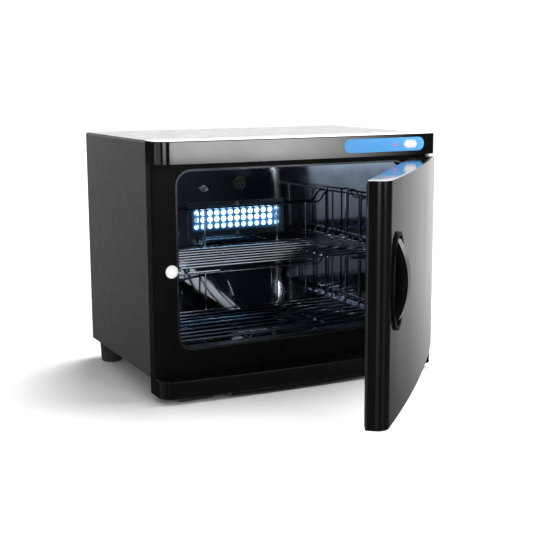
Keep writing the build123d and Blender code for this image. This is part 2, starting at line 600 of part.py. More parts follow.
save(interlock_plunger, "interlock_plunger")

SPRING_TURNS = 4
with BuildPart() as interlock_spring:
    for turn in range(SPRING_TURNS):
        with BuildSketch(Plane.XY.offset(PLUNGER_Z)):
            with Locations((PLUNGER_X + 5.0, CASE_FRONT - 2.5 - 2.0 * turn)):
                Circle(0.5)
        revolve(axis=Axis((PLUNGER_X, 0, PLUNGER_Z), (0, 1, 0)))
save(interlock_spring, "interlock_spring")

# ---- hinge hardware -----------------------------------------------------------------------
BRACKET_T = 2.5
BUSH_R = 5.0
BUSH_LENGTH = 12.0
BRACKET_X = (PIN_X - 40, PIN_X + 5)
BRACKET_Y = (PIN_Y - 6, CASE_FRONT)
BRACKET_NOSE = 5.0
UPPER_BRACKET_Z = HEADER_Z + PLASTIC
LOWER_BRACKET_Z = SILL_TOP - PLASTIC - BRACKET_T

with BuildPart() as upper_hinge_bracket:
    block(BRACKET_X, BRACKET_Y, (UPPER_BRACKET_Z, UPPER_BRACKET_Z + BRACKET_T))
    fillet(upper_hinge_bracket.edges().filter_by(Axis.Z).sort_by(Axis.Y)[:2], BRACKET_NOSE)
    block(BRACKET_X, (CASE_FRONT - BRACKET_T, CASE_FRONT), (UPPER_BRACKET_Z, UPPER_BRACKET_Z + 18))
    bar((PIN_X, PIN_Y, UPPER_BRACKET_Z), (0, 0, 1), BRACKET_T, PIN_R, Mode.SUBTRACT)
save(upper_hinge_bracket, "upper_hinge_bracket")

with BuildPart() as lower_hinge_bracket:
    block((FOOT_X + FOOT_W / 2 + 3.2, PIN_X + 5), BRACKET_Y, (LOWER_BRACKET_Z, LOWER_BRACKET_Z + BRACKET_T))
    fillet(lower_hinge_bracket.edges().filter_by(Axis.Z).sort_by(Axis.Y)[:2], BRACKET_NOSE)
    block((FOOT_X + FOOT_W / 2 + 3.2, PIN_X + 5), (CASE_FRONT - BRACKET_T, CASE_FRONT),
          (LOWER_BRACKET_Z - 14, LOWER_BRACKET_Z))
    bar((PIN_X, PIN_Y, LOWER_BRACKET_Z), (0, 0, 1), BRACKET_T, PIN_R, Mode.SUBTRACT)
save(lower_hinge_bracket, "lower_hinge_bracket")

PIN_HEAD_R = 5.0
PIN_HEAD_T = 2.5

with BuildPart() as hinge_pins:
    pin_low = DOOR_HIGH - BUSH_LENGTH + 1
    bar((PIN_X, PIN_Y, pin_low), (0, 0, 1), UPPER_BRACKET_Z + BRACKET_T - pin_low, PIN_R)
    bar((PIN_X, PIN_Y, UPPER_BRACKET_Z + BRACKET_T), (0, 0, 1), PIN_HEAD_T, PIN_HEAD_R)
    pin_high = DOOR_LOW + BUSH_LENGTH - 1
    bar((PIN_X, PIN_Y, LOWER_BRACKET_Z), (0, 0, 1), pin_high - LOWER_BRACKET_Z, PIN_R)
    bar((PIN_X, PIN_Y, LOWER_BRACKET_Z - PIN_HEAD_T), (0, 0, 1), PIN_HEAD_T, PIN_HEAD_R)
save(hinge_pins, "hinge_pins")

# ---- door, drawn shut ---------------------------------------------------------------------
DOOR_CORNER = 15.0
DOOR_INNER_CORNER = 3.0
DOOR_HINGE_CORNER = 7.0
PANEL_HALF = 208.0
PANEL_T = 2.5
PANEL_GAP = 0.25
CAVITY_LEFT = -211.0
CAVITY_RIGHT = 203.0
CAVITY_LOW = DOOR_LOW + 11
CAVITY_HIGH = DOOR_HIGH - 11
INNER_PANEL_T = 2.0
GASKET_SEAT = 1.6
HANDLE_X = -174.0
HANDLE_Z = BASE_Z + 177
RING_HALF_W = 32.0
RING_HALF_H = 60.0
MOUTH_HALF_W = 27.5
MOUTH_HALF_H = 55.0
CUP_WALL = 1.8
CUP_DEPTH = 19.0
RING_PROUD = 2.6
RECESS_R = 12.0
RECESS_DEPTH = 5.5


def handle_oval(half_w, half_h, inset, length, mode=Mode.ADD):
    """An oval prism about the handle's axis, from inset behind the door face outwards."""
    with BuildSketch(face_plane(HANDLE_X, HANDLE_Z, inset)) as oval:
        Ellipse(half_w, half_h)
    extrude(oval.sketch, amount=length, mode=mode)


with BuildPart() as door_frame:
    with BuildSketch(Plane.XY.offset(DOOR_LOW)) as door_plan:
        bowed_outline(-DOOR_HALF, DOOR_HALF, DOOR_INNER_Y)
        fillet(front_corners(door_plan), DOOR_CORNER)
        back_corners = door_plan.vertices().group_by(Axis.Y)[-1].sort_by(Axis.X)
        fillet(back_corners[0], DOOR_INNER_CORNER)
        hinge_corner = door_plan.vertices().group_by(Axis.Y)[-1].sort_by(Axis.X)[-1]
        fillet(hinge_corner, DOOR_HINGE_CORNER)
    extrude(amount=DOOR_HIGH - DOOR_LOW)
    with BuildSketch(Plane.XY.offset(DOOR_LOW - 1)):
        bowed_outline(-PANEL_HALF, PANEL_HALF, FACE_END_Y + 20, -1)
    extrude(amount=DOOR_HIGH - DOOR_LOW + 2, mode=Mode.SUBTRACT)
    with BuildSketch(Plane.XY.offset(DOOR_LOW)):
        bowed_outline(-PANEL_HALF, PANEL_HALF, DOOR_INNER_Y - 2, PANEL_T)
    extrude(amount=DOOR_HIGH - DOOR_LOW)
    with BuildSketch(Plane.XY.offset(CAVITY_LOW)):
        bowed_outline(CAVITY_LEFT, CAVITY_RIGHT, DOOR_INNER_Y, PANEL_T + PLASTIC)
    extrude(amount=CAVITY_HIGH - CAVITY_LOW, mode=Mode.SUBTRACT)
    handle_oval(MOUTH_HALF_W + CUP_WALL, MOUTH_HALF_H + CUP_WALL, 10, 20, Mode.SUBTRACT)
    block((CAVITY_LEFT - 8.5, CAVITY_RIGHT + 8.5), (DOOR_INNER_Y - 1.6, DOOR_INNER_Y),
          (CAVITY_LOW - 8, CAVITY_HIGH + 8), Mode.SUBTRACT)
    block((CAVITY_LEFT - 2.5, CAVITY_RIGHT + 2.5), (DOOR_INNER_Y - 1.6, DOOR_INNER_Y),
          (CAVITY_LOW - 2, CAVITY_HIGH + 2))
    block((CAVITY_LEFT, CAVITY_RIGHT), (DOOR_INNER_Y - GASKET_SEAT, DOOR_INNER_Y),
          (CAVITY_LOW, CAVITY_HIGH), Mode.SUBTRACT)
    bar((PIN_X, PIN_Y, DOOR_HIGH - BUSH_LENGTH), (0, 0, 1), BUSH_LENGTH, BUSH_R, Mode.SUBTRACT)
    bar((PIN_X, PIN_Y, DOOR_LOW), (0, 0, 1), BUSH_LENGTH, BUSH_R, Mode.SUBTRACT)
save_on_door(door_frame, "door_frame")

with BuildPart() as door_outer_panel:
    with BuildSketch(Plane.XY.offset(DOOR_LOW)) as panel_plan:
        bowed_outline(-PANEL_HALF + PANEL_GAP, PANEL_HALF - PANEL_GAP, FACE_END_Y + 20)
    extrude(amount=DOOR_HIGH - DOOR_LOW)
    with BuildSketch(Plane.XY.offset(DOOR_LOW)):
        bowed_outline(-PANEL_HALF, PANEL_HALF, FACE_END_Y + 20, PANEL_T)
    extrude(amount=DOOR_HIGH - DOOR_LOW, mode=Mode.SUBTRACT)
    handle_oval(MOUTH_HALF_W + CUP_WALL, MOUTH_HALF_H + CUP_WALL, 10, 20, Mode.SUBTRACT)
save_on_door(door_outer_panel, "door_outer_panel")

with BuildPart() as door_inner_panel:
    block((CAVITY_LEFT, CAVITY_RIGHT), (DOOR_INNER_Y - INNER_PANEL_T, DOOR_INNER_Y),
          (CAVITY_LOW, CAVITY_HIGH))
    bar((PLUNGER_X, DOOR_INNER_Y - RECESS_DEPTH - 1.2, PLUNGER_Z), (0, 1, 0), RECESS_DEPTH + 1.2,
        RECESS_R + 1.2)
    bar((PLUNGER_X, DOOR_INNER_Y - RECESS_DEPTH, PLUNGER_Z), (0, 1, 0), RECESS_DEPTH, RECESS_R,
        Mode.SUBTRACT)
save_on_door(door_inner_panel, "door_inner_panel")

with BuildPart() as door_insulation:
    with BuildSketch(Plane.XY.offset(CAVITY_LOW + 1)):
        bowed_outline(CAVITY_LEFT + 18, CAVITY_RIGHT - 1, DOOR_INNER_Y - INNER_PANEL_T - 0.2,
                      PANEL_T + PLASTIC + 0.5)
    extrude(amount=CAVITY_HIGH - CAVITY_LOW - 2)
    handle_oval(MOUTH_HALF_W + CUP_WALL + 1, MOUTH_HALF_H + CUP_WALL + 1, 40, 60, Mode.SUBTRACT)
    block((CAVITY_LEFT, PLUNGER_X + RECESS_R + 3), (FACE_END_Y - 20, DOOR_INNER_Y),
          (PLUNGER_Z - 16, PLUNGER_Z + 16), Mode.SUBTRACT)
save_on_door(door_insulation, "door_insulation")

with BuildPart() as door_gasket:
    block((CAVITY_LEFT - 8.5, CAVITY_RIGHT + 8.5), (DOOR_INNER_Y - GASKET_SEAT, DOOR_INNER_Y + 1.0),
          (CAVITY_LOW - 8, CAVITY_HIGH + 8))
    block((CAVITY_LEFT - 2.5, CAVITY_RIGHT + 2.5), (DOOR_INNER_Y - GASKET_SEAT, DOOR_INNER_Y + 1.0),
          (CAVITY_LOW - 2, CAVITY_HIGH + 2), Mode.SUBTRACT)
save_on_door(door_gasket, "door_gasket")

with BuildPart() as handle_cup:
    handle_oval(MOUTH_HALF_W + CUP_WALL, MOUTH_HALF_H + CUP_WALL, CUP_DEPTH, CUP_DEPTH)
    handle_oval(RING_HALF_W, RING_HALF_H, -0.35, RING_PROUD)
    handle_oval(MOUTH_HALF_W + CUP_WALL, MOUTH_HALF_H + CUP_WALL, 1, 2)
    handle_oval(MOUTH_HALF_W, MOUTH_HALF_H, CUP_DEPTH - CUP_WALL, CUP_DEPTH + 10, Mode.SUBTRACT)
save_on_door(handle_cup, "handle_cup")

GRIP_HALF_W = 9.0
GRIP_T = 6.0
GRIP_PROUD = 15.0

with BuildPart() as handle_grip:
    lean_plane = face_plane(HANDLE_X, HANDLE_Z)
    side_plane = Plane(origin=lean_plane.origin - lean_plane.x_dir * GRIP_HALF_W, x_dir=lean_plane.z_dir,
                       z_dir=lean_plane.x_dir)
    with BuildSketch(side_plane):
        with BuildLine():
            ThreePointArc((-2, -MOUTH_HALF_H - 1), (GRIP_PROUD, 0), (-2, MOUTH_HALF_H + 1))
            ThreePointArc((-2 - GRIP_T, -MOUTH_HALF_H + 3), (GRIP_PROUD - GRIP_T, 0),
                          (-2 - GRIP_T, MOUTH_HALF_H - 3))
            Line((-2, -MOUTH_HALF_H - 1), (-2 - GRIP_T, -MOUTH_HALF_H + 3))
            Line((-2, MOUTH_HALF_H + 1), (-2 - GRIP_T, MOUTH_HALF_H - 3))
        make_face()
    extrude(amount=2 * GRIP_HALF_W)
    handle_oval(MOUTH_HALF_W - 0.02, MOUTH_HALF_H - 0.02, 20, 60, Mode.INTERSECT)
save_on_door(handle_grip, "handle_grip")

with BuildPart() as hinge_bushes:
    for low in (DOOR_HIGH - BUSH_LENGTH, DOOR_LOW):
        bar((PIN_X, PIN_Y, low), (0, 0, 1), BUSH_LENGTH, BUSH_R)
        bar((PIN_X, PIN_Y, low), (0, 0, 1), BUSH_LENGTH, PIN_R + FIT, Mode.SUBTRACT)
save_on_door(hinge_bushes, "hinge_bushes")

# ---- wire baskets -------------------------------------------------------------------------
BASKET_HALF = 176.0
BASKET_FRONT = CASE_FRONT + 10
BASKET_BACK = LINER_BACK - 11
SIDE_RISE = 78.0
BACK_RISE = 61.0
STEP_X = (150.0, 162.0)
BACK_POSTS = (-124, -62, 72, 124)
FLOOR_WIRES = 7
RUN_X = (-60.0, 70.0)
SIDE_POSTS = 4
TRIM = WIRE_R + 0.1
WELD = 0.6
LIP_X = (105.0, 111.0, 163.0, 169.0)   # where each front lip leaves, bottoms, bottoms and returns
LIP_DROP = 7.5


def side_panel(x, floor):
    """One side of a basket: floor wire, raised rim and uprights, all in one plane."""
    length = BASKET_BACK - BASKET_FRONT
    for rise in (0, SIDE_RISE):
        bar((x, BASKET_FRONT - WIRE_R, floor + rise), (0, 1, 0), length + 2 * WIRE_R)
    for post in range(SIDE_POSTS + 1):
        bar((x, BASKET_FRONT + post * length / SIDE_POSTS, floor), (0, 0, 1), SIDE_RISE)


def floor_panel(floor):
    """The floor grid: wires across the basket on two lengthways wires."""
    length = BASKET_BACK - BASKET_FRONT - TRIM
    across = BASKET_HALF - TRIM
    for wire in range(FLOOR_WIRES + 1):
        y = BASKET_FRONT + wire * (BASKET_BACK - BASKET_FRONT) / (FLOOR_WIRES + 1)
        bar((-across, y, floor), (1, 0, 0), 2 * across)
    for x in RUN_X:
        bar((x, BASKET_FRONT, floor - 2 * WIRE_R + WELD), (0, 1, 0), length)


def front_lips(floor):
    """Two shallow wire lips under the front edge, which stop the basket on its runners' ends."""
    for side in (-1, 1):
        rise_in = Vector(side * (LIP_X[1] - LIP_X[0]), 0, -LIP_DROP)
        rise_out = Vector(side * (LIP_X[2] - LIP_X[3]), 0, -LIP_DROP)
        bar((side * LIP_X[0], BASKET_FRONT, floor), rise_in, rise_in.length)
        bar((side * LIP_X[3], BASKET_FRONT, floor), rise_out, rise_out.length)
        bar((side * (LIP_X[1] - WELD), BASKET_FRONT, floor - LIP_DROP), (side, 0, 0),
            LIP_X[2] - LIP_X[1] + 2 * WELD)


def back_panel(floor):
    """The back: floor wire, stepped rim and uprights."""
    across = BASKET_HALF - TRIM
    bar((-across, BASKET_BACK, floor), (1, 0, 0), 2 * across)
    bar((-STEP_X[0], BASKET_BACK, floor + BACK_RISE), (1, 0, 0), 2 * STEP_X[0])
    for side in (-1, 1):
        slope = Vector(side * (STEP_X[1] - STEP_X[0]), 0, SIDE_RISE - BACK_RISE)
        bar((side * STEP_X[0], BASKET_BACK, floor + BACK_RISE), slope, slope.length)
        bar((side * STEP_X[1], BASKET_BACK, floor + SIDE_RISE), (side, 0, 0), across - STEP_X[1])
    for x in BACK_POSTS:
        bar((x, BASKET_BACK, floor), (0, 0, 1), BACK_RISE)


for level, floor in (("upper", BASE_Z + UPPER_FLOOR), ("lower", BASE_Z + LOWER_FLOOR)):
    with BuildPart() as basket_left:
        side_panel(-BASKET_HALF, floor)
    save(basket_left, f"{level}_basket_left")
    with BuildPart() as basket_right:
        side_panel(BASKET_HALF, floor)
    save(basket_right, f"{level}_basket_right")
    with BuildPart() as basket_floor:
        floor_panel(floor)
        if level == "upper":
            front_lips(floor)
    save(basket_floor, f"{level}_basket_floor")
    with BuildPart() as basket_back:
        back_panel(floor)
    save(basket_back, f"{level}_basket_back")
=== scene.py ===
import json
import math

import bpy
from bpy.props import FloatProperty, FloatVectorProperty, IntProperty, PointerProperty
from mathutils import Matrix, Vector

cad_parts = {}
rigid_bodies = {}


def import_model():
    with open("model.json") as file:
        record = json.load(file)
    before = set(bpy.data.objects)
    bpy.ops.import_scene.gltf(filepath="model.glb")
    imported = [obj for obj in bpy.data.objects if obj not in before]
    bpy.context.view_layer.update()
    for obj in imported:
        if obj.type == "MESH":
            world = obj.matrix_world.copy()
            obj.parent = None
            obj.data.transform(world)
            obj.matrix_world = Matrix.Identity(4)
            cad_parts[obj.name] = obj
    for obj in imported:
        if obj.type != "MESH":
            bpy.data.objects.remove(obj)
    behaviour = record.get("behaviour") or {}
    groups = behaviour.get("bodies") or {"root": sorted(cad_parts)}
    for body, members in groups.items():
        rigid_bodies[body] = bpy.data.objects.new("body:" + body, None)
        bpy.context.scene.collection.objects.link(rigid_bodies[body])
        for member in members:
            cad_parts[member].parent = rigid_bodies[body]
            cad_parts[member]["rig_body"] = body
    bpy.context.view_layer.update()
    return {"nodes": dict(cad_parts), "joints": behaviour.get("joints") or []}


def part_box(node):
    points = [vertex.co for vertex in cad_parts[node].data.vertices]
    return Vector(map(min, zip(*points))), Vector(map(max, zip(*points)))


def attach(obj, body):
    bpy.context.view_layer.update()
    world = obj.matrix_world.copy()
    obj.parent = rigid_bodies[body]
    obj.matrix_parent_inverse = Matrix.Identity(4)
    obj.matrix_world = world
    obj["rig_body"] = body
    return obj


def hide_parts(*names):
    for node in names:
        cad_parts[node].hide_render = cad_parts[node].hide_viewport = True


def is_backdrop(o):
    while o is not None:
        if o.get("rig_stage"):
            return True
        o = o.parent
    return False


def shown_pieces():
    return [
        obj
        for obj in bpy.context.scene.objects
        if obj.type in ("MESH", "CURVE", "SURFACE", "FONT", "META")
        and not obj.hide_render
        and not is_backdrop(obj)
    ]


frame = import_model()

bl_info = {
    "name": "Salon Sterilizer Cabinet",
    "version": (1, 0, 0),
    "blender": (4, 5, 0),
    "location": "3D View > Sidebar > Cabinet",
    "description": "Builds the pieces and finishes of a warming sterilizer cabinet on its CAD frame",
    "category": "Object",
}

MM = 0.001


def linear(hex_colour):
    """An sRGB hex colour as linear red, green, blue and an alpha of one."""
    channels = [int(hex_colour[i:i + 2], 16) / 255 for i in (0, 2, 4)]
    return tuple(c / 12.92 if c <= 0.04045 else ((c + 0.055) / 1.055) ** 2.4 for c in channels) + (1.0,)


# ---- places, read from the frame ----------------------------------------------------------
def span(node):
    """The lowest and highest corner of a CAD piece in millimetres."""
    low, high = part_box(node)
    return low / MM, high / MM


FRONT_Y = span("front_frame")[0].y
GUARD_LOW, GUARD_HIGH = span("lamp_guard")
LABEL_LOW, LABEL_HIGH = span("control_label")
DOOR_JOINT = next(j for j in frame["joints"] if j["name"] == "door_hinge")
HINGE = Vector(DOOR_JOINT["pos_m"])
DOOR_OPEN = -math.radians(DOOR_JOINT["range_deg"][0])
OPENED = Matrix.Translation(HINGE) @ Matrix.Rotation(DOOR_OPEN, 4, "Z") @ Matrix.Translation(-HINGE)
DOOR_INNER_Y = FRONT_Y - 1.5             # the inner face of the shut door
RIM_STEP = 17                            # how far a basket's back rim steps down


# ---- settings -----------------------------------------------------------------------------
class CabinetSizes(bpy.types.PropertyGroup):
    wire_radius: FloatProperty(name="Basket Wire Radius", description="Half the thickness of the basket wire",
                               default=1.5 * MM, min=0.5 * MM, subtype="DISTANCE", unit="LENGTH")
    wire_bend: FloatProperty(name="Basket Wire Bend", description="Radius of the bends in the basket wire",
                             default=5 * MM, min=1 * MM, subtype="DISTANCE", unit="LENGTH")
    cross_wires: IntProperty(name="Cross Wires", description="Wires across a basket's floor, inside its rim",
                             default=7, min=1, max=20)
    eased_edge: FloatProperty(name="Eased Edge", description="Width of the small rounding on moulded edges",
                              default=0.5 * MM, min=0.05 * MM, subtype="DISTANCE", unit="LENGTH")
    lamp_glow: FloatProperty(name="Lamp Glow", description="Brightness of the lit lamp behind its guard",
                             default=6.0, min=0.0)


class CabinetColours(bpy.types.PropertyGroup):
    casing: FloatVectorProperty(name="Casing", description="Charcoal powder coat", subtype="COLOR", size=4,
                                default=linear("333335"), min=0, max=1)
    gloss: FloatVectorProperty(name="Gloss Black", description="Header, sill and door mouldings",
                               subtype="COLOR", size=4, default=linear("0b0b0c"), min=0, max=1)
    label: FloatVectorProperty(name="Label", description="Printed ground of the control label",
                               subtype="COLOR", size=4, default=linear("4d98d6"), min=0, max=1)
    rocker: FloatVectorProperty(name="Switch", description="Rocker and door plunger", subtype="COLOR", size=4,
                                default=linear("efeff0"), min=0, max=1)
    glow: FloatVectorProperty(name="Lamp", description="Colour of the lamp's light", subtype="COLOR", size=4,
                              default=linear("c4ecff"), min=0, max=1)
    floor: FloatVectorProperty(name="Floor", description="The pale floor the cabinet stands on",
                               subtype="COLOR", size=4, default=linear("f4f4f4"), min=0, max=1)


# ---- making meshes ------------------------------------------------------------------------
def deselect():
    """Leave nothing selected, so that an operator acts on the new piece alone."""
    if bpy.context.object and bpy.context.object.mode != "OBJECT":
        bpy.ops.object.mode_set(mode="OBJECT")
    bpy.ops.object.select_all(action="DESELECT")


def work_on(piece):
    """Make one piece the selected and active one."""
    deselect()
    piece.select_set(True)
    bpy.context.view_layer.objects.active = piece


def edit(piece, kind="VERT"):
    """Enter edit mode with everything selected."""
    work_on(piece)
    bpy.ops.object.mode_set(mode="EDIT")
    bpy.ops.mesh.select_mode(type=kind)
    bpy.ops.mesh.select_all(action="SELECT")


def done_editing():
    bpy.ops.object.mode_set(mode="OBJECT")


def modify(piece, kind, **settings):
    """Add a modifier with its settings and apply it."""
    work_on(piece)
    modifier = piece.modifiers.new(kind.title(), kind)
    for key, value in settings.items():
        setattr(modifier, key, value)
    bpy.ops.object.modifier_apply(modifier=modifier.name)


def ease_edges(piece, width, segments=2, angle=35):
    """Round the hard edges a little and keep the flats flat."""
    modify(piece, "BEVEL", width=width, segments=segments, limit_method="ANGLE",
           angle_limit=math.radians(angle), use_clamp_overlap=True)


def smooth(piece, angle=32):
    """Smooth shading that keeps true corners, with flats that stay flat."""
    work_on(piece)
    bpy.ops.object.shade_smooth_by_angle(angle=math.radians(angle))
    modify(piece, "WEIGHTED_NORMAL", keep_sharp=True, weight=50)


def place(piece, matrix):
    """Move a drawn shape to where it belongs, with the place in its mesh."""
    piece.matrix_world = matrix @ piece.matrix_world
    work_on(piece)
    bpy.ops.object.transform_apply(location=True, rotation=True, scale=True)


def mend(piece):
    """Merge doubled points and turn every face outwards."""
    edit(piece)
    bpy.ops.mesh.remove_doubles(threshold=1e-6)
    bpy.ops.mesh.normals_make_consistent(inside=False)
    done_editing()


def join(pieces, name):
    """One piece from several."""
    deselect()
    for piece in pieces:
        piece.select_set(True)
    bpy.context.view_layer.objects.active = pieces[0]
    if len(pieces) > 1:
        bpy.ops.object.join()
    pieces[0].name = name
    return pieces[0]


def finish(piece, name, body, material, stands_for=()):
    """Name a piece, give it its finish and fix it to its body."""
    piece.name = name
    piece.data.name = name
    piece.data.materials.clear()
    piece.data.materials.append(material)
    for face in piece.data.polygons:
        face.material_index = 0
    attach(piece, body)
    if stands_for:
        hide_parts(*stands_for)
    deselect()
    return piece


def refined(node, material, edge=None, angle=32):
    """Stand in for a CAD piece with the same shape, its edges eased and its curves shaded smooth."""
    source = frame["nodes"][node]
    piece = bpy.data.objects.new(node + "_shell", source.data.copy())
    bpy.context.scene.collection.objects.link(piece)
    edit(piece)
    bpy.ops.mesh.remove_doubles(threshold=2e-6)
    bpy.ops.mesh.dissolve_limited(angle_limit=math.radians(0.3))
    done_editing()
    width = bpy.context.scene.cabinet_sizes.eased_edge if edge is None else edge * MM
    if width:
        ease_edges(piece, width)
    smooth(piece, angle)
    return finish(piece, node + "_shell", source["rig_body"], material, (node,))


def dress(node, material):
    """Give a CAD piece its finish."""
    slots = frame["nodes"][node].data.materials
    if not slots:
        slots.append(material)
    for index in range(len(slots)):
        slots[index] = material


def drawn(points):
    """A flat face with a corner at each point: a filled circle whose corners are pulled into place."""
    deselect()
    bpy.ops.mesh.primitive_circle_add(vertices=len(points), fill_type="NGON")
    piece = bpy.context.object
    for corner, point in zip(piece.data.vertices, points):
        corner.co = Vector(point) * MM
    return piece


def pull(piece, way):
    """Extrude a flat face along a vector in millimetres into a closed block."""
    edit(piece, "FACE")
    bpy.ops.mesh.extrude_region_move(TRANSFORM_OT_translate={"value": Vector(way) * MM})
    bpy.ops.mesh.select_all(action="SELECT")
    bpy.ops.mesh.normals_make_consistent(inside=False)
    done_editing()


def bent_wire(points, radius, bend, closed=False):
    """A wire through the points: its corners are rounded, then it is given its thickness."""
    straight = len(points) == 2
    if straight:
        points = [points[0], tuple((a + b) / 2 for a, b in zip(*points)), points[1]]
    deselect()
    bpy.ops.mesh.primitive_circle_add(vertices=len(points), fill_type="NOTHING")
    wire = bpy.context.object
    for corner, point in zip(wire.data.vertices, points):
        corner.co = Vector(point) * MM
    ends = {0, len(points) - 1}
    if not closed:
        edit(wire, "EDGE")
        bpy.ops.mesh.select_all(action="DESELECT")
        done_editing()
        for link in wire.data.edges:
            link.select = set(link.vertices) == ends
        bpy.ops.object.mode_set(mode="EDIT")
        bpy.ops.mesh.delete(type="EDGE")
        done_editing()
    if not straight:
        edit(wire)
        bpy.ops.mesh.select_all(action="DESELECT")
        done_editing()
        for corner in wire.data.vertices:
            corner.select = closed or corner.index not in ends
        bpy.ops.object.mode_set(mode="EDIT")
        bpy.ops.mesh.bevel(offset=bend, segments=4, affect="VERTICES", clamp_overlap=True)
        done_editing()
    work_on(wire)
    bpy.ops.object.convert(target="CURVE")
    wire = bpy.context.object
    wire.data.bevel_depth = radius
    wire.data.bevel_resolution = 2
    wire.data.use_fill_caps = True
    bpy.ops.object.convert(target="MESH")
    return bpy.context.object


# ---- making materials ---------------------------------------------------------------------
def add_node(tree, kind, values=None, links=None, feeds=None, **settings):
    """Add a node with its settings, its socket values, what is linked into it and the sockets that it feeds.
    What is linked is an output, or a node for its first output."""
    node = tree.nodes.new("ShaderNode" + kind)
    for key, value in settings.items():
        setattr(node, key, value)
    for socket, value in (values or {}).items():
        node.inputs[socket].default_value = value
    for socket, source in (links or {}).items():
        output = source if isinstance(source, bpy.types.NodeSocket) else source.outputs[0]
        tree.links.new(output, node.inputs[socket])
    for output, socket in (feeds or {}).items():
        tree.links.new(node.outputs[output], socket)
    return node


def new_material(name, **values):
    """A material with one Principled shader, with its tree, the shader's sockets and object coordinates."""
    material = bpy.data.materials.new(name)
    material.use_nodes = True
    tree = material.node_tree
    tree.nodes.clear()
    shader = add_node(tree, "BsdfPrincipled", values)
    add_node(tree, "OutputMaterial", {}, {"Surface": shader})
    here = add_node(tree, "TexCoord").outputs["Object"]
    return material, tree, shader.inputs, here


SPREAD = {"From Min": 0.3, "From Max": 0.7}   # where nearly all of a noise lies


def grains(size):
    """The scale of a noise whose grains are about size millimetres across."""
    return 0.5 / (size * MM)


def shade(colour, share):
    """A colour made darker or lighter."""
    return tuple(min(1.0, c * share) for c in colour[:3]) + (1.0,)


FINISHES = {}


def finish_called(make):
    """Each finish is made once and kept by its function's name."""
    def kept():
        if make.__name__ not in FINISHES:
            FINISHES[make.__name__] = make(bpy.context.scene.cabinet_colours)
        return FINISHES[make.__name__]
    return kept


@finish_called
def powder_coat(colours):
    # Polyester powder coat, sprayed and baked: a fine orange peel that blurs what the steel panels reflect.
    material, tree, surface, here = new_material("satin powder coat", Roughness=0.36, IOR=1.5)
    peel = add_node(tree, "TexNoise", {"Scale": grains(1.4), "Detail": 3}, {"Vector": here})
    shades = add_node(tree, "TexNoise", {"Scale": grains(60)}, {"Vector": here})
    add_node(tree, "Mix", {"A": shade(colours.casing, 0.9), "B": shade(colours.casing, 1.1)},
             {"Factor": shades}, {"Result": surface["Base Color"]}, data_type="RGBA")
    haze = add_node(tree, "TexNoise", {"Scale": grains(9)}, {"Vector": here})
    add_node(tree, "MapRange", {**SPREAD, "To Min": 0.33, "To Max": 0.4}, {"Value": haze},
             {"Result": surface["Roughness"]})
    add_node(tree, "Bump", {"Strength": 0.35, "Distance": 0.02 * MM}, {"Height": peel},
             {"Normal": surface["Normal"]})
    return material


@finish_called
def gloss_abs(colours):
    # High gloss ABS from a polished mould: near black, with a mirror sheen that shows how the plastic flowed.
    material, tree, surface, here = new_material("high gloss moulded ABS", IOR=1.53, Roughness=0.07)
    shades = add_node(tree, "TexNoise", {"Scale": grains(80)}, {"Vector": here})
    add_node(tree, "Mix", {"A": shade(colours.gloss, 0.8), "B": shade(colours.gloss, 1.2)},
             {"Factor": shades}, {"Result": surface["Base Color"]}, data_type="RGBA")
    haze = add_node(tree, "TexNoise", {"Scale": grains(24), "Detail": 4}, {"Vector": here})
    add_node(tree, "MapRange", {**SPREAD, "To Min": 0.055, "To Max": 0.1}, {"Value": haze},
             {"Result": surface["Roughness"]})
    grain = add_node(tree, "TexNoise", {"Scale": grains(70), "Detail": 1}, {"Vector": here})
    add_node(tree, "Bump", {"Strength": 0.06, "Distance": 0.02 * MM}, {"Height": grain},
             {"Normal": surface["Normal"]})
    return material


@finish_called
def satin_abs(colours):
    # The same ABS from a mould with a fine spark-eroded grain, with its reflection turned almost off as
    # painted shade: it stays dark where the gloss parts flare.
    material, tree, surface, here = new_material("satin moulded ABS", IOR=1.53, Roughness=0.3)
    # painted shade: reflection nearly off, standing for the dark surroundings these faces would mirror
    surface["Specular IOR Level"].default_value = 0.02
    shades = add_node(tree, "TexNoise", {"Scale": grains(70)}, {"Vector": here})
    add_node(tree, "Mix", {"A": shade(colours.gloss, 0.8), "B": shade(colours.gloss, 1.3)},
             {"Factor": shades}, {"Result": surface["Base Color"]}, data_type="RGBA")
    haze = add_node(tree, "TexNoise", {"Scale": grains(18), "Detail": 3}, {"Vector": here})
    add_node(tree, "MapRange", {**SPREAD, "To Min": 0.24, "To Max": 0.36}, {"Value": haze},
             {"Result": surface["Roughness"]})
    grain = add_node(tree, "TexNoise", {"Scale": grains(0.8), "Detail": 3}, {"Vector": here})
    add_node(tree, "Bump", {"Strength": 0.25, "Distance": 0.01 * MM}, {"Height": grain},
             {"Normal": surface["Normal"]})
    return material


@finish_called
def sill_abs(colours):
    # Gloss ABS that is handled and wiped more than the rest, so its sheen is a little uneven; its reflection
    # is also turned down as painted shade, standing for a darker floor than the pale one it faces.
    material, tree, surface, here = new_material("handled gloss ABS with dimmed reflection", IOR=1.53, Roughness=0.16)
    # painted shade: reflection turned down so the sill mirrors a darker floor than the pale one it faces
    surface["Specular IOR Level"].default_value = 0.12
    shades = add_node(tree, "TexNoise", {"Scale": grains(70)}, {"Vector": here})
    add_node(tree, "Mix", {"A": shade(colours.gloss, 0.8), "B": shade(colours.gloss, 1.3)},
             {"Factor": shades}, {"Result": surface["Base Color"]}, data_type="RGBA")
    drawn_out = add_node(tree, "Mapping", {"Scale": (0.4, 1, 1)}, {"Vector": here})
    haze = add_node(tree, "TexNoise", {"Scale": grains(30), "Detail": 5}, {"Vector": drawn_out})
    add_node(tree, "MapRange", {**SPREAD, "To Min": 0.12, "To Max": 0.24}, {"Value": haze},
             {"Result": surface["Roughness"]})
    grain = add_node(tree, "TexNoise", {"Scale": grains(45), "Detail": 1}, {"Vector": here})
    add_node(tree, "Bump", {"Strength": 0.12, "Distance": 0.04 * MM}, {"Height": grain},
             {"Normal": surface["Normal"]})
    return material


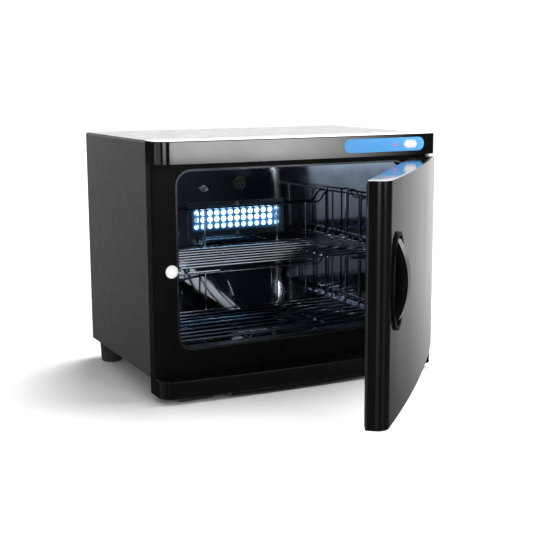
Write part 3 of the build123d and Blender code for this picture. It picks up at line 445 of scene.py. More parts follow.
@finish_called
def door_acrylic(colours):
    # Black cast acrylic sheet: deep, flat and wet-looking, with only the finest wiping haze.
    material, tree, surface, here = new_material("black cast acrylic", IOR=1.49, Roughness=0.1)
    shades = add_node(tree, "TexNoise", {"Scale": grains(120)}, {"Vector": here})
    add_node(tree, "Mix", {"A": shade(colours.gloss, 0.9), "B": shade(colours.gloss, 1.3)},
             {"Factor": shades}, {"Result": surface["Base Color"]}, data_type="RGBA")
    drawn_out = add_node(tree, "Mapping", {"Scale": (1, 1, 0.4)}, {"Vector": here})
    haze = add_node(tree, "TexNoise", {"Scale": grains(35), "Detail": 4}, {"Vector": drawn_out})
    add_node(tree, "MapRange", {**SPREAD, "To Min": 0.09, "To Max": 0.15}, {"Value": haze},
             {"Result": surface["Roughness"]})
    grain = add_node(tree, "TexNoise", {"Scale": grains(90), "Detail": 1}, {"Vector": here})
    add_node(tree, "Bump", {"Strength": 0.1, "Distance": 0.05 * MM}, {"Height": grain},
             {"Normal": surface["Normal"]})
    return material


@finish_called
def mirror_steel(colours):
    # Stainless sheet, bright annealed and buffed: a mirror with the slow ripple of thin pressed sheet.
    material, tree, surface, here = new_material("mirror polished stainless", Metallic=1.0, Roughness=0.05)
    shades = add_node(tree, "TexNoise", {"Scale": grains(50)}, {"Vector": here})
    add_node(tree, "Mix", {"A": linear("88909a"), "B": linear("99a1ab")}, {"Factor": shades},
             {"Result": surface["Base Color"]}, data_type="RGBA")
    haze = add_node(tree, "TexNoise", {"Scale": grains(16), "Detail": 5}, {"Vector": here})
    add_node(tree, "MapRange", {**SPREAD, "To Min": 0.03, "To Max": 0.1}, {"Value": haze},
             {"Result": surface["Roughness"]})
    grain = add_node(tree, "TexNoise", {"Scale": grains(42), "Detail": 1}, {"Vector": here})
    add_node(tree, "Bump", {"Strength": 0.12, "Distance": 0.25 * MM}, {"Height": grain},
             {"Normal": surface["Normal"]})
    return material


@finish_called
def zinc_plate(colours):
    # Bright zinc on rolled sheet: grey and half dull, with spangle and rolling lines.
    material, tree, surface, here = new_material("zinc plated sheet", Metallic=1.0, Roughness=0.38)
    spangle = add_node(tree, "TexVoronoi", {"Scale": 1 / (6 * MM)}, {"Vector": here})
    add_node(tree, "Mix", {"A": linear("8f9192"), "B": linear("b9bbbc")}, {"Factor": spangle},
             {"Result": surface["Base Color"]}, data_type="RGBA")
    drawn_out = add_node(tree, "Mapping", {"Scale": (1, 0.2, 1)}, {"Vector": here})
    haze = add_node(tree, "TexNoise", {"Scale": grains(5), "Detail": 4}, {"Vector": drawn_out})
    add_node(tree, "MapRange", {**SPREAD, "To Min": 0.3, "To Max": 0.5}, {"Value": haze},
             {"Result": surface["Roughness"]})
    grain = add_node(tree, "TexNoise", {"Scale": grains(1.2), "Detail": 3}, {"Vector": here})
    add_node(tree, "Bump", {"Strength": 0.2, "Distance": 0.01 * MM}, {"Height": grain},
             {"Normal": surface["Normal"]})
    return material


@finish_called
def trim_steel(colours):
    # A folded stainless edging, polished along its length: it draws a thin light line round the opening.
    material, tree, surface, here = new_material("polished stainless edging", Metallic=1.0, Roughness=0.2)
    shades = add_node(tree, "TexNoise", {"Scale": grains(20)}, {"Vector": here})
    add_node(tree, "Mix", {"A": linear("26282a"), "B": linear("3c3e41")}, {"Factor": shades},
             {"Result": surface["Base Color"]}, data_type="RGBA")
    drawn_out = add_node(tree, "Mapping", {"Scale": (0.1, 1, 0.1)}, {"Vector": here})
    haze = add_node(tree, "TexNoise", {"Scale": grains(3), "Detail": 3}, {"Vector": drawn_out})
    add_node(tree, "MapRange", {**SPREAD, "To Min": 0.2, "To Max": 0.36}, {"Value": haze},
             {"Result": surface["Roughness"]})
    return material


@finish_called
def chrome(colours):
    # Nickel-chrome on drawn wire: hard, bright and slightly blue, with tiny plating pits.
    material, tree, surface, here = new_material("bright chromed wire", Metallic=1.0, Roughness=0.1)
    shades = add_node(tree, "TexNoise", {"Scale": grains(12)}, {"Vector": here})
    add_node(tree, "Mix", {"A": linear("a2acb8"), "B": linear("c4ccd4")}, {"Factor": shades},
             {"Result": surface["Base Color"]}, data_type="RGBA")
    haze = add_node(tree, "TexNoise", {"Scale": grains(4), "Detail": 4}, {"Vector": here})
    add_node(tree, "MapRange", {**SPREAD, "To Min": 0.06, "To Max": 0.16}, {"Value": haze},
             {"Result": surface["Roughness"]})
    grain = add_node(tree, "TexNoise", {"Scale": grains(1.1)}, {"Vector": here})
    add_node(tree, "Bump", {"Strength": 0.25, "Distance": 0.01 * MM}, {"Height": grain},
             {"Normal": surface["Normal"]})
    return material


@finish_called
def guard_painted_glow(colours):
    # Perforated stainless over the lit lamp, with a painted blue glow on the metal between the holes that
    # fades outward.
    material, tree, surface, here = new_material("perforated stainless with painted glow", Metallic=1.0, Roughness=0.3)
    surface["Base Color"].default_value = linear("5e666e")
    middle = (GUARD_LOW + GUARD_HIGH) * 0.5 * MM
    centred = add_node(tree, "Mapping", {"Location": -middle}, {"Vector": here})
    parts = add_node(tree, "SeparateXYZ", {}, {"Vector": centred})
    reach = []
    for axis, half, fade in (("X", 71 * MM, 12 * MM), ("Z", 11 * MM, 10 * MM)):
        away = add_node(tree, "Math", {}, {0: parts.outputs[axis]}, operation="ABSOLUTE")
        limits = {"From Min": half - fade * 0.2, "From Max": half + fade, "To Min": 1.0, "To Max": 0.0}
        reach.append(add_node(tree, "MapRange", limits, {"Value": away}, interpolation_type="SMOOTHSTEP"))
    painted_glow_spread = add_node(tree, "Math", {}, {0: reach[0], 1: reach[1]}, operation="MULTIPLY")
    blotches = add_node(tree, "TexNoise", {"Scale": grains(14)}, {"Vector": here})
    uneven = add_node(tree, "MapRange", {**SPREAD, "To Min": 0.6, "To Max": 1.05}, {"Value": blotches})
    # painted glow: blue emission on the metal between the holes, fading outward; the guard itself is no lamp
    surface["Emission Color"].default_value = linear("3f7fbd")
    add_node(tree, "Math", {}, {0: painted_glow_spread, 1: uneven}, {"Value": surface["Emission Strength"]},
             operation="MULTIPLY")
    return material


@finish_called
def reflector_painted_glow(colours):
    # Bright aluminium round the tube, given a painted glow that stands for the tube's light falling on it, so
    # every hole of the guard shines.
    material, tree, surface, here = new_material("reflector with painted lamp glow", Metallic=1.0, Roughness=0.35)
    shades = add_node(tree, "TexNoise", {"Scale": grains(10)}, {"Vector": here})
    add_node(tree, "Mix", {"A": linear("aeb9c4"), "B": linear("d5dee6")}, {"Factor": shades},
             {"Result": surface["Base Color"]}, data_type="RGBA")
    haze = add_node(tree, "TexNoise", {"Scale": grains(3)}, {"Vector": here})
    add_node(tree, "MapRange", {**SPREAD, "To Min": 0.28, "To Max": 0.42}, {"Value": haze},
             {"Result": surface["Roughness"]})
    # painted glow: this emission stands for the lamp's light on the reflector, which is no lamp itself
    surface["Emission Color"].default_value = colours.glow
    surface["Emission Strength"].default_value = bpy.context.scene.cabinet_sizes.lamp_glow * 0.2
    return material


@finish_called
def lamp_glass(colours):
    # A quartz tube that is lit: white hot in the middle of the picture, cyan at its rim.
    material, tree, surface, here = new_material("lit quartz tube", Roughness=0.08, IOR=1.46)
    shades = add_node(tree, "TexNoise", {"Scale": grains(8)}, {"Vector": here})
    add_node(tree, "Mix", {"A": linear("bfe6fb"), "B": linear("e8f8ff")}, {"Factor": shades},
             {"Result": surface["Base Color"]}, data_type="RGBA")
    surface["Emission Color"].default_value = colours.glow
    surface["Emission Strength"].default_value = bpy.context.scene.cabinet_sizes.lamp_glow
    return material


@finish_called
def label_film(colours):
    # Polycarbonate film printed from behind: even blue under a soft satin skin, a shade lighter to the right.
    material, tree, surface, here = new_material("printed polycarbonate film", IOR=1.58, Roughness=0.3)
    surface["Specular IOR Level"].default_value = 0.25
    parts = add_node(tree, "SeparateXYZ", {}, {"Vector": here})
    along = add_node(tree, "MapRange", {"From Min": LABEL_LOW.x * MM, "From Max": LABEL_HIGH.x * MM},
                     {"Value": parts.outputs["X"]})
    add_node(tree, "Mix", {"A": shade(colours.label, 0.88), "B": shade(colours.label, 1.12)},
             {"Factor": along}, {"Result": surface["Base Color"]}, data_type="RGBA")
    grain = add_node(tree, "TexNoise", {"Scale": grains(0.9)}, {"Vector": here})
    add_node(tree, "Bump", {"Strength": 0.2, "Distance": 0.01 * MM}, {"Height": grain},
             {"Normal": surface["Normal"]})
    return material


@finish_called
def white_abs(colours):
    # White moulded ABS: clean and half gloss, faintly warmer where it is thickest.
    material, tree, surface, here = new_material("white moulded ABS", IOR=1.53, Roughness=0.28)
    shades = add_node(tree, "TexNoise", {"Scale": grains(14)}, {"Vector": here})
    add_node(tree, "Mix", {"A": shade(colours.rocker, 0.95), "B": colours.rocker}, {"Factor": shades},
             {"Result": surface["Base Color"]}, data_type="RGBA")
    haze = add_node(tree, "TexNoise", {"Scale": grains(4)}, {"Vector": here})
    add_node(tree, "MapRange", {**SPREAD, "To Min": 0.24, "To Max": 0.34}, {"Value": haze},
             {"Result": surface["Roughness"]})
    grain = add_node(tree, "TexNoise", {"Scale": grains(0.8)}, {"Vector": here})
    add_node(tree, "Bump", {"Strength": 0.15, "Distance": 0.01 * MM}, {"Height": grain},
             {"Normal": surface["Normal"]})
    return material


@finish_called
def dark_nylon(colours):
    # Glass-filled nylon: charcoal, dull and slightly mottled.
    material, tree, surface, here = new_material("dark moulded nylon", IOR=1.53, Roughness=0.55)
    shades = add_node(tree, "TexNoise", {"Scale": grains(6), "Detail": 4}, {"Vector": here})
    add_node(tree, "Mix", {"A": linear("17181a"), "B": linear("26272a")}, {"Factor": shades},
             {"Result": surface["Base Color"]}, data_type="RGBA")
    grain = add_node(tree, "TexNoise", {"Scale": grains(0.9), "Detail": 3}, {"Vector": here})
    add_node(tree, "Bump", {"Strength": 0.3, "Distance": 0.02 * MM}, {"Height": grain},
             {"Normal": surface["Normal"]})
    return material


@finish_called
def red_lens(colours):
    # Clear red polystyrene over a lit diode: saturated, hottest at its tip.
    material, tree, surface, here = new_material("lit red lens", Roughness=0.12, IOR=1.59)
    shades = add_node(tree, "TexNoise", {"Scale": grains(1.0)}, {"Vector": here})
    add_node(tree, "Mix", {"A": linear("d8323c"), "B": linear("f05560")}, {"Factor": shades},
             {"Result": surface["Base Color"]}, data_type="RGBA")
    surface["Emission Color"].default_value = linear("ff4050")
    surface["Emission Strength"].default_value = 0.9
    return material


@finish_called
def foot_rubber(colours):
    # Moulded EPDM: soft black with a dry bloom that greys its shoulders.
    material, tree, surface, here = new_material("moulded EPDM rubber", Roughness=0.62, IOR=1.52)
    shades = add_node(tree, "TexNoise", {"Scale": grains(5), "Detail": 4}, {"Vector": here})
    add_node(tree, "Mix", {"A": linear("0c0c0c"), "B": linear("171717")}, {"Factor": shades},
             {"Result": surface["Base Color"]}, data_type="RGBA")
    haze = add_node(tree, "TexNoise", {"Scale": grains(8)}, {"Vector": here})
    add_node(tree, "MapRange", {**SPREAD, "To Min": 0.52, "To Max": 0.74}, {"Value": haze},
             {"Result": surface["Roughness"]})
    grain = add_node(tree, "TexNoise", {"Scale": grains(0.9), "Detail": 3}, {"Vector": here})
    add_node(tree, "Bump", {"Strength": 0.3, "Distance": 0.03 * MM}, {"Height": grain},
             {"Normal": surface["Normal"]})
    return material


@finish_called
def seal_rubber(colours):
    # Extruded magnetic door seal: matt black, with fine lines along it.
    material, tree, surface, here = new_material("extruded door seal", Roughness=0.55, IOR=1.52)
    shades = add_node(tree, "TexNoise", {"Scale": grains(7), "Detail": 4}, {"Vector": here})
    add_node(tree, "Mix", {"A": linear("101113"), "B": linear("1c1d20")}, {"Factor": shades},
             {"Result": surface["Base Color"]}, data_type="RGBA")
    drawn_out = add_node(tree, "Mapping", {"Scale": (1, 1, 0.1)}, {"Vector": here})
    grain = add_node(tree, "TexNoise", {"Scale": grains(1.0)}, {"Vector": drawn_out})
    add_node(tree, "Bump", {"Strength": 0.3, "Distance": 0.03 * MM}, {"Height": grain},
             {"Normal": surface["Normal"]})
    return material


@finish_called
def door_lining(colours):
    # Vacuum formed polystyrene: dark blue-grey, with the soft unevenness of a drawn sheet.
    material, tree, surface, here = new_material("vacuum formed lining", IOR=1.59, Roughness=0.35)
    surface["Specular IOR Level"].default_value = 0.3
    shades = add_node(tree, "TexNoise", {"Scale": grains(40)}, {"Vector": here})
    add_node(tree, "Mix", {"A": linear("0f1c30"), "B": linear("182d48")}, {"Factor": shades},
             {"Result": surface["Base Color"]}, data_type="RGBA")
    haze = add_node(tree, "TexNoise", {"Scale": grains(15), "Detail": 4}, {"Vector": here})
    add_node(tree, "MapRange", {**SPREAD, "To Min": 0.28, "To Max": 0.42}, {"Value": haze},
             {"Result": surface["Roughness"]})
    grain = add_node(tree, "TexNoise", {"Scale": grains(20)}, {"Vector": here})
    add_node(tree, "Bump", {"Strength": 0.15, "Distance": 0.1 * MM}, {"Height": grain},
             {"Normal": surface["Normal"]})
    return material


@finish_called
def glass_wool(colours):
    # Resin-bonded glass wool: yellow, matted fibres; the fibres are drawn 1 mm thick so that they show.
    material, tree, surface, here = new_material("glass wool board", Roughness=0.95)
    drawn_out = add_node(tree, "Mapping", {"Scale": (0.3, 1, 1)}, {"Vector": here})
    fibres = add_node(tree, "TexNoise", {"Scale": grains(1.0), "Detail": 6}, {"Vector": drawn_out})
    add_node(tree, "Mix", {"A": linear("b99f55"), "B": linear("e2cf8f")}, {"Factor": fibres},
             {"Result": surface["Base Color"]}, data_type="RGBA")
    add_node(tree, "Bump", {"Strength": 0.6, "Distance": 0.8 * MM}, {"Height": fibres},
             {"Normal": surface["Normal"]})
    return material


@finish_called
def heater_silicone(colours):
    # Silicone rubber sheet with its heating wire showing through as faint ridges 6 mm apart.
    material, tree, surface, here = new_material("silicone heating mat", Roughness=0.6)
    shades = add_node(tree, "TexNoise", {"Scale": grains(6), "Detail": 3}, {"Vector": here})
    add_node(tree, "Mix", {"A": linear("a8401c"), "B": linear("c25a30")}, {"Factor": shades},
             {"Result": surface["Base Color"]}, data_type="RGBA")
    ridge_scale = 0.05 / (6 * MM) * math.pi * 2
    ridges = add_node(tree, "TexWave", {"Scale": ridge_scale, "Distortion": 0.0}, {"Vector": here},
                      wave_type="BANDS", bands_direction="Y").outputs["Fac"]
    add_node(tree, "Bump", {"Strength": 0.5, "Distance": 0.4 * MM}, {"Height": ridges},
             {"Normal": surface["Normal"]})
    return material


# ---- the stage ----------------------------------------------------------------------------
# Each panel's brightness by height above the horizon: degrees and brightness
BACK_WALL = ((-60, 0.2), (-17, 0.3), (-10, 0.88), (-3, 1.05), (2, 2.5), (90, 2.5))
LEFT_STRIP = ((-25, 0.05), (-8, 0.4), (-4.6, 1.2), (-4, 4.0), (8, 4.5), (14, 0.3), (60, 0.3))
LEFT_WALL = ((-25, 0.3), (-4, 0.8), (40, 0.8), (60, 0.3))
FRONT_BOX = ((-20, 0.15), (-9, 0.12), (-4.9, 0.14), (-4.1, 10.3), (4, 10.3), (9, 1.2), (35, 1.1), (50, 0.4))
FRONT_CARD = ((-16, 0.0), (-9, 0.2), (-5, 0.2), (-4.2, 0.0))
CEILING = {"From Min": math.radians(45), "From Max": math.radians(60), "To Min": 0.02, "To Max": 0.9}
FILL = 0.5
BACKDROP = 1.1


def band(tree, value, low, high, soft_low, soft_high):
    """One inside two angles in degrees, falling to nothing over some degrees outside them."""
    start, low, high, end = (math.radians(angle) for angle in (low - soft_low, low, high, high + soft_high))
    rise = add_node(tree, "MapRange", {"From Min": start, "From Max": low}, {"Value": value},
                    interpolation_type="SMOOTHSTEP")
    fall = add_node(tree, "MapRange", {"From Min": high, "From Max": end, "To Min": 1.0, "To Max": 0.0},
                    {"Value": value}, interpolation_type="SMOOTHSTEP")
    return add_node(tree, "Math", {}, {0: rise, 1: fall}, operation="MULTIPLY")


def by_height(tree, rise, steps):
    """A brightness that follows the height above the horizon, given as degrees and brightness."""
    total = None
    for (low, before), (high, after) in zip(steps, steps[1:]):
        step = add_node(tree, "MapRange", {"From Min": math.radians(low), "From Max": math.radians(high),
                                           "To Min": 0.0, "To Max": after - before}, {"Value": rise})
        total = step if total is None else add_node(tree, "Math", {}, {0: total, 1: step}, operation="ADD")
    return add_node(tree, "Math", {1: steps[0][1]}, {0: total}, operation="ADD")


def light_the_studio(scene):
    """Soft boxes and white walls seen only in reflections, white for the eye, even grey for the fill."""
    world = bpy.data.worlds.new("studio")
    scene.world = world
    world.use_nodes = True
    tree = world.node_tree
    tree.nodes.clear()
    parts = add_node(tree, "SeparateXYZ", {}, {"Vector": add_node(tree, "TexCoord")})
    x, y, z = (parts.outputs[axis] for axis in "XYZ")
    rise = add_node(tree, "Math", {}, {0: z}, operation="ARCSINE")
    from_right = add_node(tree, "Math", {}, {0: y, 1: x}, operation="ARCTAN2")
    turned = add_node(tree, "Math", {1: -1.0}, {0: x}, operation="MULTIPLY")
    from_left = add_node(tree, "Math", {}, {0: y, 1: turned}, operation="ARCTAN2")
    panels = (
        (band(tree, from_right, 50, 101, 36, 6), BACK_WALL),
        (band(tree, from_left, -71, -46, 2, 2), LEFT_STRIP),
        (band(tree, from_left, -20, 40, 8, 10), LEFT_WALL),
        (band(tree, from_right, -76.3, -66, 0.5, 18), FRONT_BOX),
        (band(tree, from_right, -62.8, -52, 1, 4), FRONT_CARD),
    )
    total = add_node(tree, "MapRange", CEILING, {"Value": rise})
    for across, steps in panels:
        lit = add_node(tree, "Math", {}, {0: across, 1: by_height(tree, rise, steps)}, operation="MULTIPLY")
        total = add_node(tree, "Math", {}, {0: total, 1: lit}, operation="ADD")
    boxes = add_node(tree, "Background", {}, {"Color": total})
    fill = add_node(tree, "Background", {"Color": linear("ffffff"), "Strength": FILL})
    white = add_node(tree, "Background", {"Color": linear("ffffff"), "Strength": BACKDROP})
    ray = add_node(tree, "LightPath")
    first = add_node(tree, "MixShader", {}, {0: ray.outputs["Is Glossy Ray"], 1: fill, 2: boxes})
    both = add_node(tree, "MixShader", {}, {0: ray.outputs["Is Camera Ray"], 1: first, 2: white})
    add_node(tree, "OutputWorld", {}, {"Surface": both})


def floor_paint(colours):
    # Matt white emulsion on a sweep: bright, with a barely seen roller texture.
    material, tree, surface, here = new_material("white painted sweep", Roughness=0.9)
    surface["Specular IOR Level"].default_value = 0.0
    shades = add_node(tree, "TexNoise", {"Scale": grains(200)}, {"Vector": here})
    add_node(tree, "Mix", {"A": shade(colours.floor, 0.985), "B": colours.floor}, {"Factor": shades},
             {"Result": surface["Base Color"]}, data_type="RGBA")
    grain = add_node(tree, "TexNoise", {"Scale": grains(3)}, {"Vector": here})
    add_node(tree, "Bump", {"Strength": 0.1, "Distance": 0.05 * MM}, {"Height": grain},
             {"Normal": surface["Normal"]})
    return material


def shadow_casters():
    """The standing cabinet, whose soft shadow falls to its left; the open door throws none."""
    casters = bpy.data.collections.new("shadow casters")
    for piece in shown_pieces():
        if piece.get("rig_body") == "cabinet":
            casters.objects.link(piece)
    return casters


# The lights: name, kind, energy, where it stands and what it points at
LIGHTS = (
    ("key", "SUN", 4.2, Vector((1.3, 0.45, 2.1)), Vector((0.0, 0.0, 0.0))),
    ("front_fill", "AREA", 60.0, Vector((0.7, -2.6, 1.2)), Vector((0.0, 0.0, 0.2))),
)
KEY_ANGLE = math.radians(50)
FILL_SIZE = (2.0, 1.4)
FLOOR_SIZE = 14
LENS_MM = 72.84
CAMERA_AT = (-0.73307, -1.50287, 0.44644)
CAMERA_YAW, CAMERA_PITCH, CAMERA_ROLL = (math.radians(angle) for angle in (26.375, -9.891, -0.324))


def lay_floor(scene):
    """A wide pale floor, unseen in the gloss of the cabinet."""
    deselect()
    bpy.ops.mesh.primitive_plane_add(size=FLOOR_SIZE)
    floor = bpy.context.object
    edit(floor)
    bpy.ops.mesh.subdivide(number_cuts=6)
    done_editing()
    floor.name = "floor"
    floor.data.materials.append(floor_paint(scene.cabinet_colours))
    floor.visible_glossy = False
    floor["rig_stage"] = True


def hang_lights(scene):
    """A broad key that throws the shadow to the left, and a soft fill in front."""
    for name, kind, energy, spot, aim in LIGHTS:
        lamp = bpy.data.lights.new(name, kind)
        lamp.energy = energy
        stand = bpy.data.objects.new(name, lamp)
        stand.location = spot
        stand.rotation_euler = (aim - spot).to_track_quat("-Z", "Y").to_euler()
        stand.visible_camera = False
        stand.visible_glossy = False
        scene.collection.objects.link(stand)
        if kind == "SUN":
            lamp.angle = KEY_ANGLE
            stand.light_linking.blocker_collection = shadow_casters()
        else:
            lamp.shape = "RECTANGLE"
            lamp.size, lamp.size_y = FILL_SIZE


def set_up_camera(scene):
    """A long lens from the front left, a little above the cabinet."""
    lens = bpy.data.cameras.new("camera")
    lens.lens, lens.sensor_width = LENS_MM, 36.0
    lens.clip_start, lens.clip_end = 0.05, 60
    camera = bpy.data.objects.new("camera", lens)
    level = math.cos(CAMERA_PITCH)
    ahead = Vector((math.sin(CAMERA_YAW) * level, math.cos(CAMERA_YAW) * level, math.sin(CAMERA_PITCH)))
    right = Vector((math.cos(CAMERA_YAW), -math.sin(CAMERA_YAW), 0))
    up = right.cross(ahead)
    rolled_right = right * math.cos(CAMERA_ROLL) + up * math.sin(CAMERA_ROLL)
    rolled_up = up * math.cos(CAMERA_ROLL) - right * math.sin(CAMERA_ROLL)
    turn = Matrix((rolled_right, rolled_up, -ahead)).transposed().to_4x4()
    camera.matrix_world = Matrix.Translation(CAMERA_AT) @ turn
    scene.collection.objects.link(camera)
    scene.camera = camera


class CABINET_OT_stage(bpy.types.Operator):
    """Lay the floor, hang the lights and set up the camera"""
    bl_idname = "cabinet.stage"
    bl_label = "Stage"

    def execute(self, context):
        scene = context.scene
        scene.view_settings.view_transform = "Standard"
        light_the_studio(scene)
        lay_floor(scene)
        hang_lights(scene)
        set_up_camera(scene)
        return {"FINISHED"}


# ---- the cabinet's pieces -----------------------------------------------------------------
class CABINET_OT_casing(bpy.types.Operator):
    """Fold the casing, its back and the seams between them"""
    bl_idname = "cabinet.casing"
    bl_label = "Casing"

    def execute(self, context):
        refined("outer_casing", powder_coat(), 0.25)
        refined("rear_panel", powder_coat(), 0.15)
        dress("base_plate", zinc_plate())
        dress("front_bulkhead", zinc_plate())
        return {"FINISHED"}


class CABINET_OT_front(bpy.types.Operator):
    """Mould the frame round the opening, with its steel edging and the door plunger"""
    bl_idname = "cabinet.front"
    bl_label = "Front Frame"

    def execute(self, context):
        refined("front_frame", satin_abs(), 0.4)
        refined("opening_trim", trim_steel(), 0.4)
        refined("interlock_plunger", white_abs(), 0.2)
        dress("interlock_housing", dark_nylon())
        dress("interlock_spring", chrome())
        return {"FINISHED"}


class CABINET_OT_header(bpy.types.Operator):
    """Mould the bowed header"""
    bl_idname = "cabinet.header"
    bl_label = "Header"

    def execute(self, context):
        refined("header_housing", gloss_abs(), 0.4)
        return {"FINISHED"}


class CABINET_OT_controls(bpy.types.Operator):
    """Stick on the label and fit the indicator and the rocker switch"""
    bl_idname = "cabinet.controls"
    bl_label = "Controls"

    def execute(self, context):
        refined("control_label", label_film(), 0)
        refined("indicator_lens", red_lens(), 0.2)
        refined("switch_body", white_abs(), 0.3)
        refined("power_rocker", white_abs(), 0.2)
        return {"FINISHED"}


class CABINET_OT_sill(bpy.types.Operator):
    """Mould the sill, the drip tray and the feet"""
    bl_idname = "cabinet.sill"
    bl_label = "Sill, Tray and Feet"

    def execute(self, context):
        refined("sill", sill_abs(), 0.4)
        refined("drip_tray", sill_abs(), 0.4)
        for node in ("front_foot_left", "front_foot_right", "rear_foot_left", "rear_foot_right"):
            refined(node, foot_rubber(), 0.6)
        return {"FINISHED"}


class CABINET_OT_chamber(bpy.types.Operator):
    """Line the chamber and fit its runners, vent and probe"""
    bl_idname = "cabinet.chamber"
    bl_label = "Chamber"

    def execute(self, context):
        refined("inner_liner", mirror_steel(), 0)
        for node in ("upper_runner_left", "upper_runner_right", "lower_runner_left", "lower_runner_right"):
            refined(node, mirror_steel(), 0.2)
        refined("vent_fitting", dark_nylon(), 0.4)
        refined("temperature_probe", zinc_plate(), 0.4)
        return {"FINISHED"}


class CABINET_OT_lamp(bpy.types.Operator):
    """Fit the lit tube, its reflector and its perforated guard"""
    bl_idname = "cabinet.lamp"
    bl_label = "Lamp"

    def execute(self, context):
        dress("lamp_guard", guard_painted_glow())
        dress("lamp_reflector", reflector_painted_glow())
        refined("uv_lamp_tube", lamp_glass(), 0.5)
        dress("lamp_holders", white_abs())
        return {"FINISHED"}


STEP_INNER, STEP_OUTER = 150, 162        # where the back rim steps down
RUNS = (-60, 70)                         # lengthways wires under the floor
BACK_UPRIGHTS = (-124, 124)
RUN_SINK = 0.6                           # how far the welds sink in
LIP = ((105, 0), (111, -7.5), (163, -7.5), (169, 0))
LIP_BEND = 2 * MM


def basket(level):
    """One basket of bent wire: the rim and front in one loop, cross wires that turn up the sides, and runs
    that turn up the back."""
    sizes = bpy.context.scene.cabinet_sizes
    radius, bend = sizes.wire_radius, sizes.wire_bend
    half_wire = radius / MM
    low, high = span(f"{level}_basket_left")
    left, right = low.x + half_wire, span(f"{level}_basket_right")[1].x - half_wire
    front, back = low.y + half_wire, high.y - half_wire
    floor, top = low.z + half_wire, high.z - half_wire
    step = top - RIM_STEP
    rim = [(left, front, floor), (left, front, top), (left, back, top), (-STEP_OUTER, back, top),
           (-STEP_INNER, back, step), (STEP_INNER, back, step), (STEP_OUTER, back, top), (right, back, top),
           (right, front, top), (right, front, floor)]
    wires = [bent_wire(rim, radius, bend, closed=True)]
    pitch = (back - front) / (sizes.cross_wires + 1)
    for wire in range(1, sizes.cross_wires + 2):
        y = front + wire * pitch
        points = [(left, y, floor), (right, y, floor)]
        if wire % 2 == 0:
            points = [(left, y, top)] + points + [(right, y, top)]
        wires.append(bent_wire(points, radius, bend))
    for side in (left, right):
        wires.append(bent_wire([(side, front, floor), (side, back, floor)], radius, bend))
    under = floor - 2 * half_wire + RUN_SINK
    for x in RUNS:
        wires.append(bent_wire([(x, front, under), (x, back, under), (x, back, step)], radius, bend))
    for x in BACK_UPRIGHTS:
        wires.append(bent_wire([(x, back, floor), (x, back, step)], radius, bend))
    if level == "upper":
        for side in (-1, 1):
            wires.append(bent_wire([(side * x, front, floor + drop) for x, drop in LIP], radius, LIP_BEND))
    piece = join(wires, f"{level}_basket_wires")
    mend(piece)
    smooth(piece, 40)
    finish(piece, f"{level}_basket_wires", f"{level}_basket", chrome(),
           [f"{level}_basket_{part}" for part in ("left", "right", "floor", "back")])


class CABINET_OT_baskets(bpy.types.Operator):
    """Bend and weld the two wire baskets"""
    bl_idname = "cabinet.baskets"
    bl_label = "Baskets"

    def execute(self, context):
        for level in ("upper", "lower"):
            basket(level)
        return {"FINISHED"}


FIELD_X = (-186, 199)                    # the raised field of the door's lining, with the door shut
FIELD_Z = (60, 296)
FIELD_PROUD = 0.6
FIELD_THICK = 1.0
FIELD_CORNER = 14 * MM


class CABINET_OT_door(bpy.types.Operator):
    """Assemble the door: frame, bowed panel, lining and seal"""
    bl_idname = "cabinet.door"
    bl_label = "Door"

    def execute(self, context):
        shell = (refined("door_frame", gloss_abs(), 0.6), refined("door_outer_panel", door_acrylic(), 0.5),
                 refined("door_inner_panel", door_lining(), 0.4), refined("door_gasket", seal_rubber(), 0.6))
        for piece in shell + (frame["nodes"]["door_insulation"],):
            piece.visible_glossy = False   # the header mirrors the studio, not the edge of the open door
        left, right = FIELD_X
        low, high = FIELD_Z
        root = DOOR_INNER_Y + FIELD_PROUD - FIELD_THICK
        field = drawn([(left, root, low), (right, root, low), (right, root, high), (left, root, high)])
        edit(field)
        bpy.ops.mesh.bevel(offset=FIELD_CORNER, segments=6, affect="VERTICES")
        done_editing()
        pull(field, (0, FIELD_THICK, 0))
        ease_edges(field, 0.4 * MM)
        smooth(field)
        place(field, OPENED)
        finish(field, "door_lining_field", "door", door_lining())
        return {"FINISHED"}


class CABINET_OT_handle(bpy.types.Operator):
    """Mould the oval handle cup and its arched grip"""
    bl_idname = "cabinet.handle"
    bl_label = "Handle"

    def execute(self, context):
        refined("handle_cup", satin_abs(), 0.8)
        refined("handle_grip", gloss_abs(), 2.6)
        return {"FINISHED"}


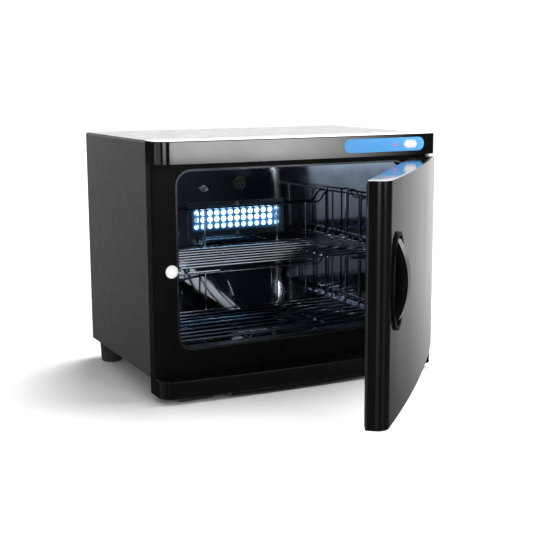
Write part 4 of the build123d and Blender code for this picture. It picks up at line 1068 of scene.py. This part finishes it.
class CABINET_OT_works(bpy.types.Operator):
    """Finish the insulation, heater, controls, wiring gear, hinges and screws"""
    bl_idname = "cabinet.works"
    bl_label = "Works"

    def execute(self, context):
        for nodes, material in (
            (("chamber_insulation", "door_insulation"), glass_wool()),
            (("heater_mat",), heater_silicone()),
            (("thermostat", "thermal_cutout", "hinge_bushes"), dark_nylon()),
            (("lamp_ballast", "upper_hinge_bracket", "lower_hinge_bracket", "hinge_pins", "casing_screws",
              "guard_screws"), zinc_plate()),
            (("lamp_starter", "terminal_block"), white_abs()),
        ):
            for node in nodes:
                dress(node, material)
        refined("mains_inlet", dark_nylon(), 0.4)
        return {"FINISHED"}


PIECES = (CABINET_OT_casing, CABINET_OT_front, CABINET_OT_header, CABINET_OT_controls, CABINET_OT_sill,
          CABINET_OT_chamber, CABINET_OT_lamp, CABINET_OT_baskets, CABINET_OT_door, CABINET_OT_handle,
          CABINET_OT_works, CABINET_OT_stage)


class CABINET_PT_panel(bpy.types.Panel):
    """Everything the cabinet is made of"""
    bl_idname = "CABINET_PT_panel"
    bl_label = "Sterilizer Cabinet"
    bl_space_type = "VIEW_3D"
    bl_region_type = "UI"
    bl_category = "Cabinet"

    def draw(self, context):
        layout = self.layout
        for group in (context.scene.cabinet_sizes, context.scene.cabinet_colours):
            column = layout.column()
            for name in group.__annotations__:
                column.prop(group, name)
        for piece in PIECES:
            layout.operator(piece.bl_idname)


CLASSES = (CabinetSizes, CabinetColours) + PIECES + (CABINET_PT_panel,)


def register():
    for item in CLASSES:
        bpy.utils.register_class(item)
    bpy.types.Scene.cabinet_sizes = PointerProperty(type=CabinetSizes)
    bpy.types.Scene.cabinet_colours = PointerProperty(type=CabinetColours)


def unregister():
    del bpy.types.Scene.cabinet_colours
    del bpy.types.Scene.cabinet_sizes
    for item in reversed(CLASSES):
        bpy.utils.unregister_class(item)


def main():
    register()
    for piece in PIECES:
        section, name = piece.bl_idname.split(".")
        getattr(getattr(bpy.ops, section), name)()


if __name__ == "__main__":
    main()
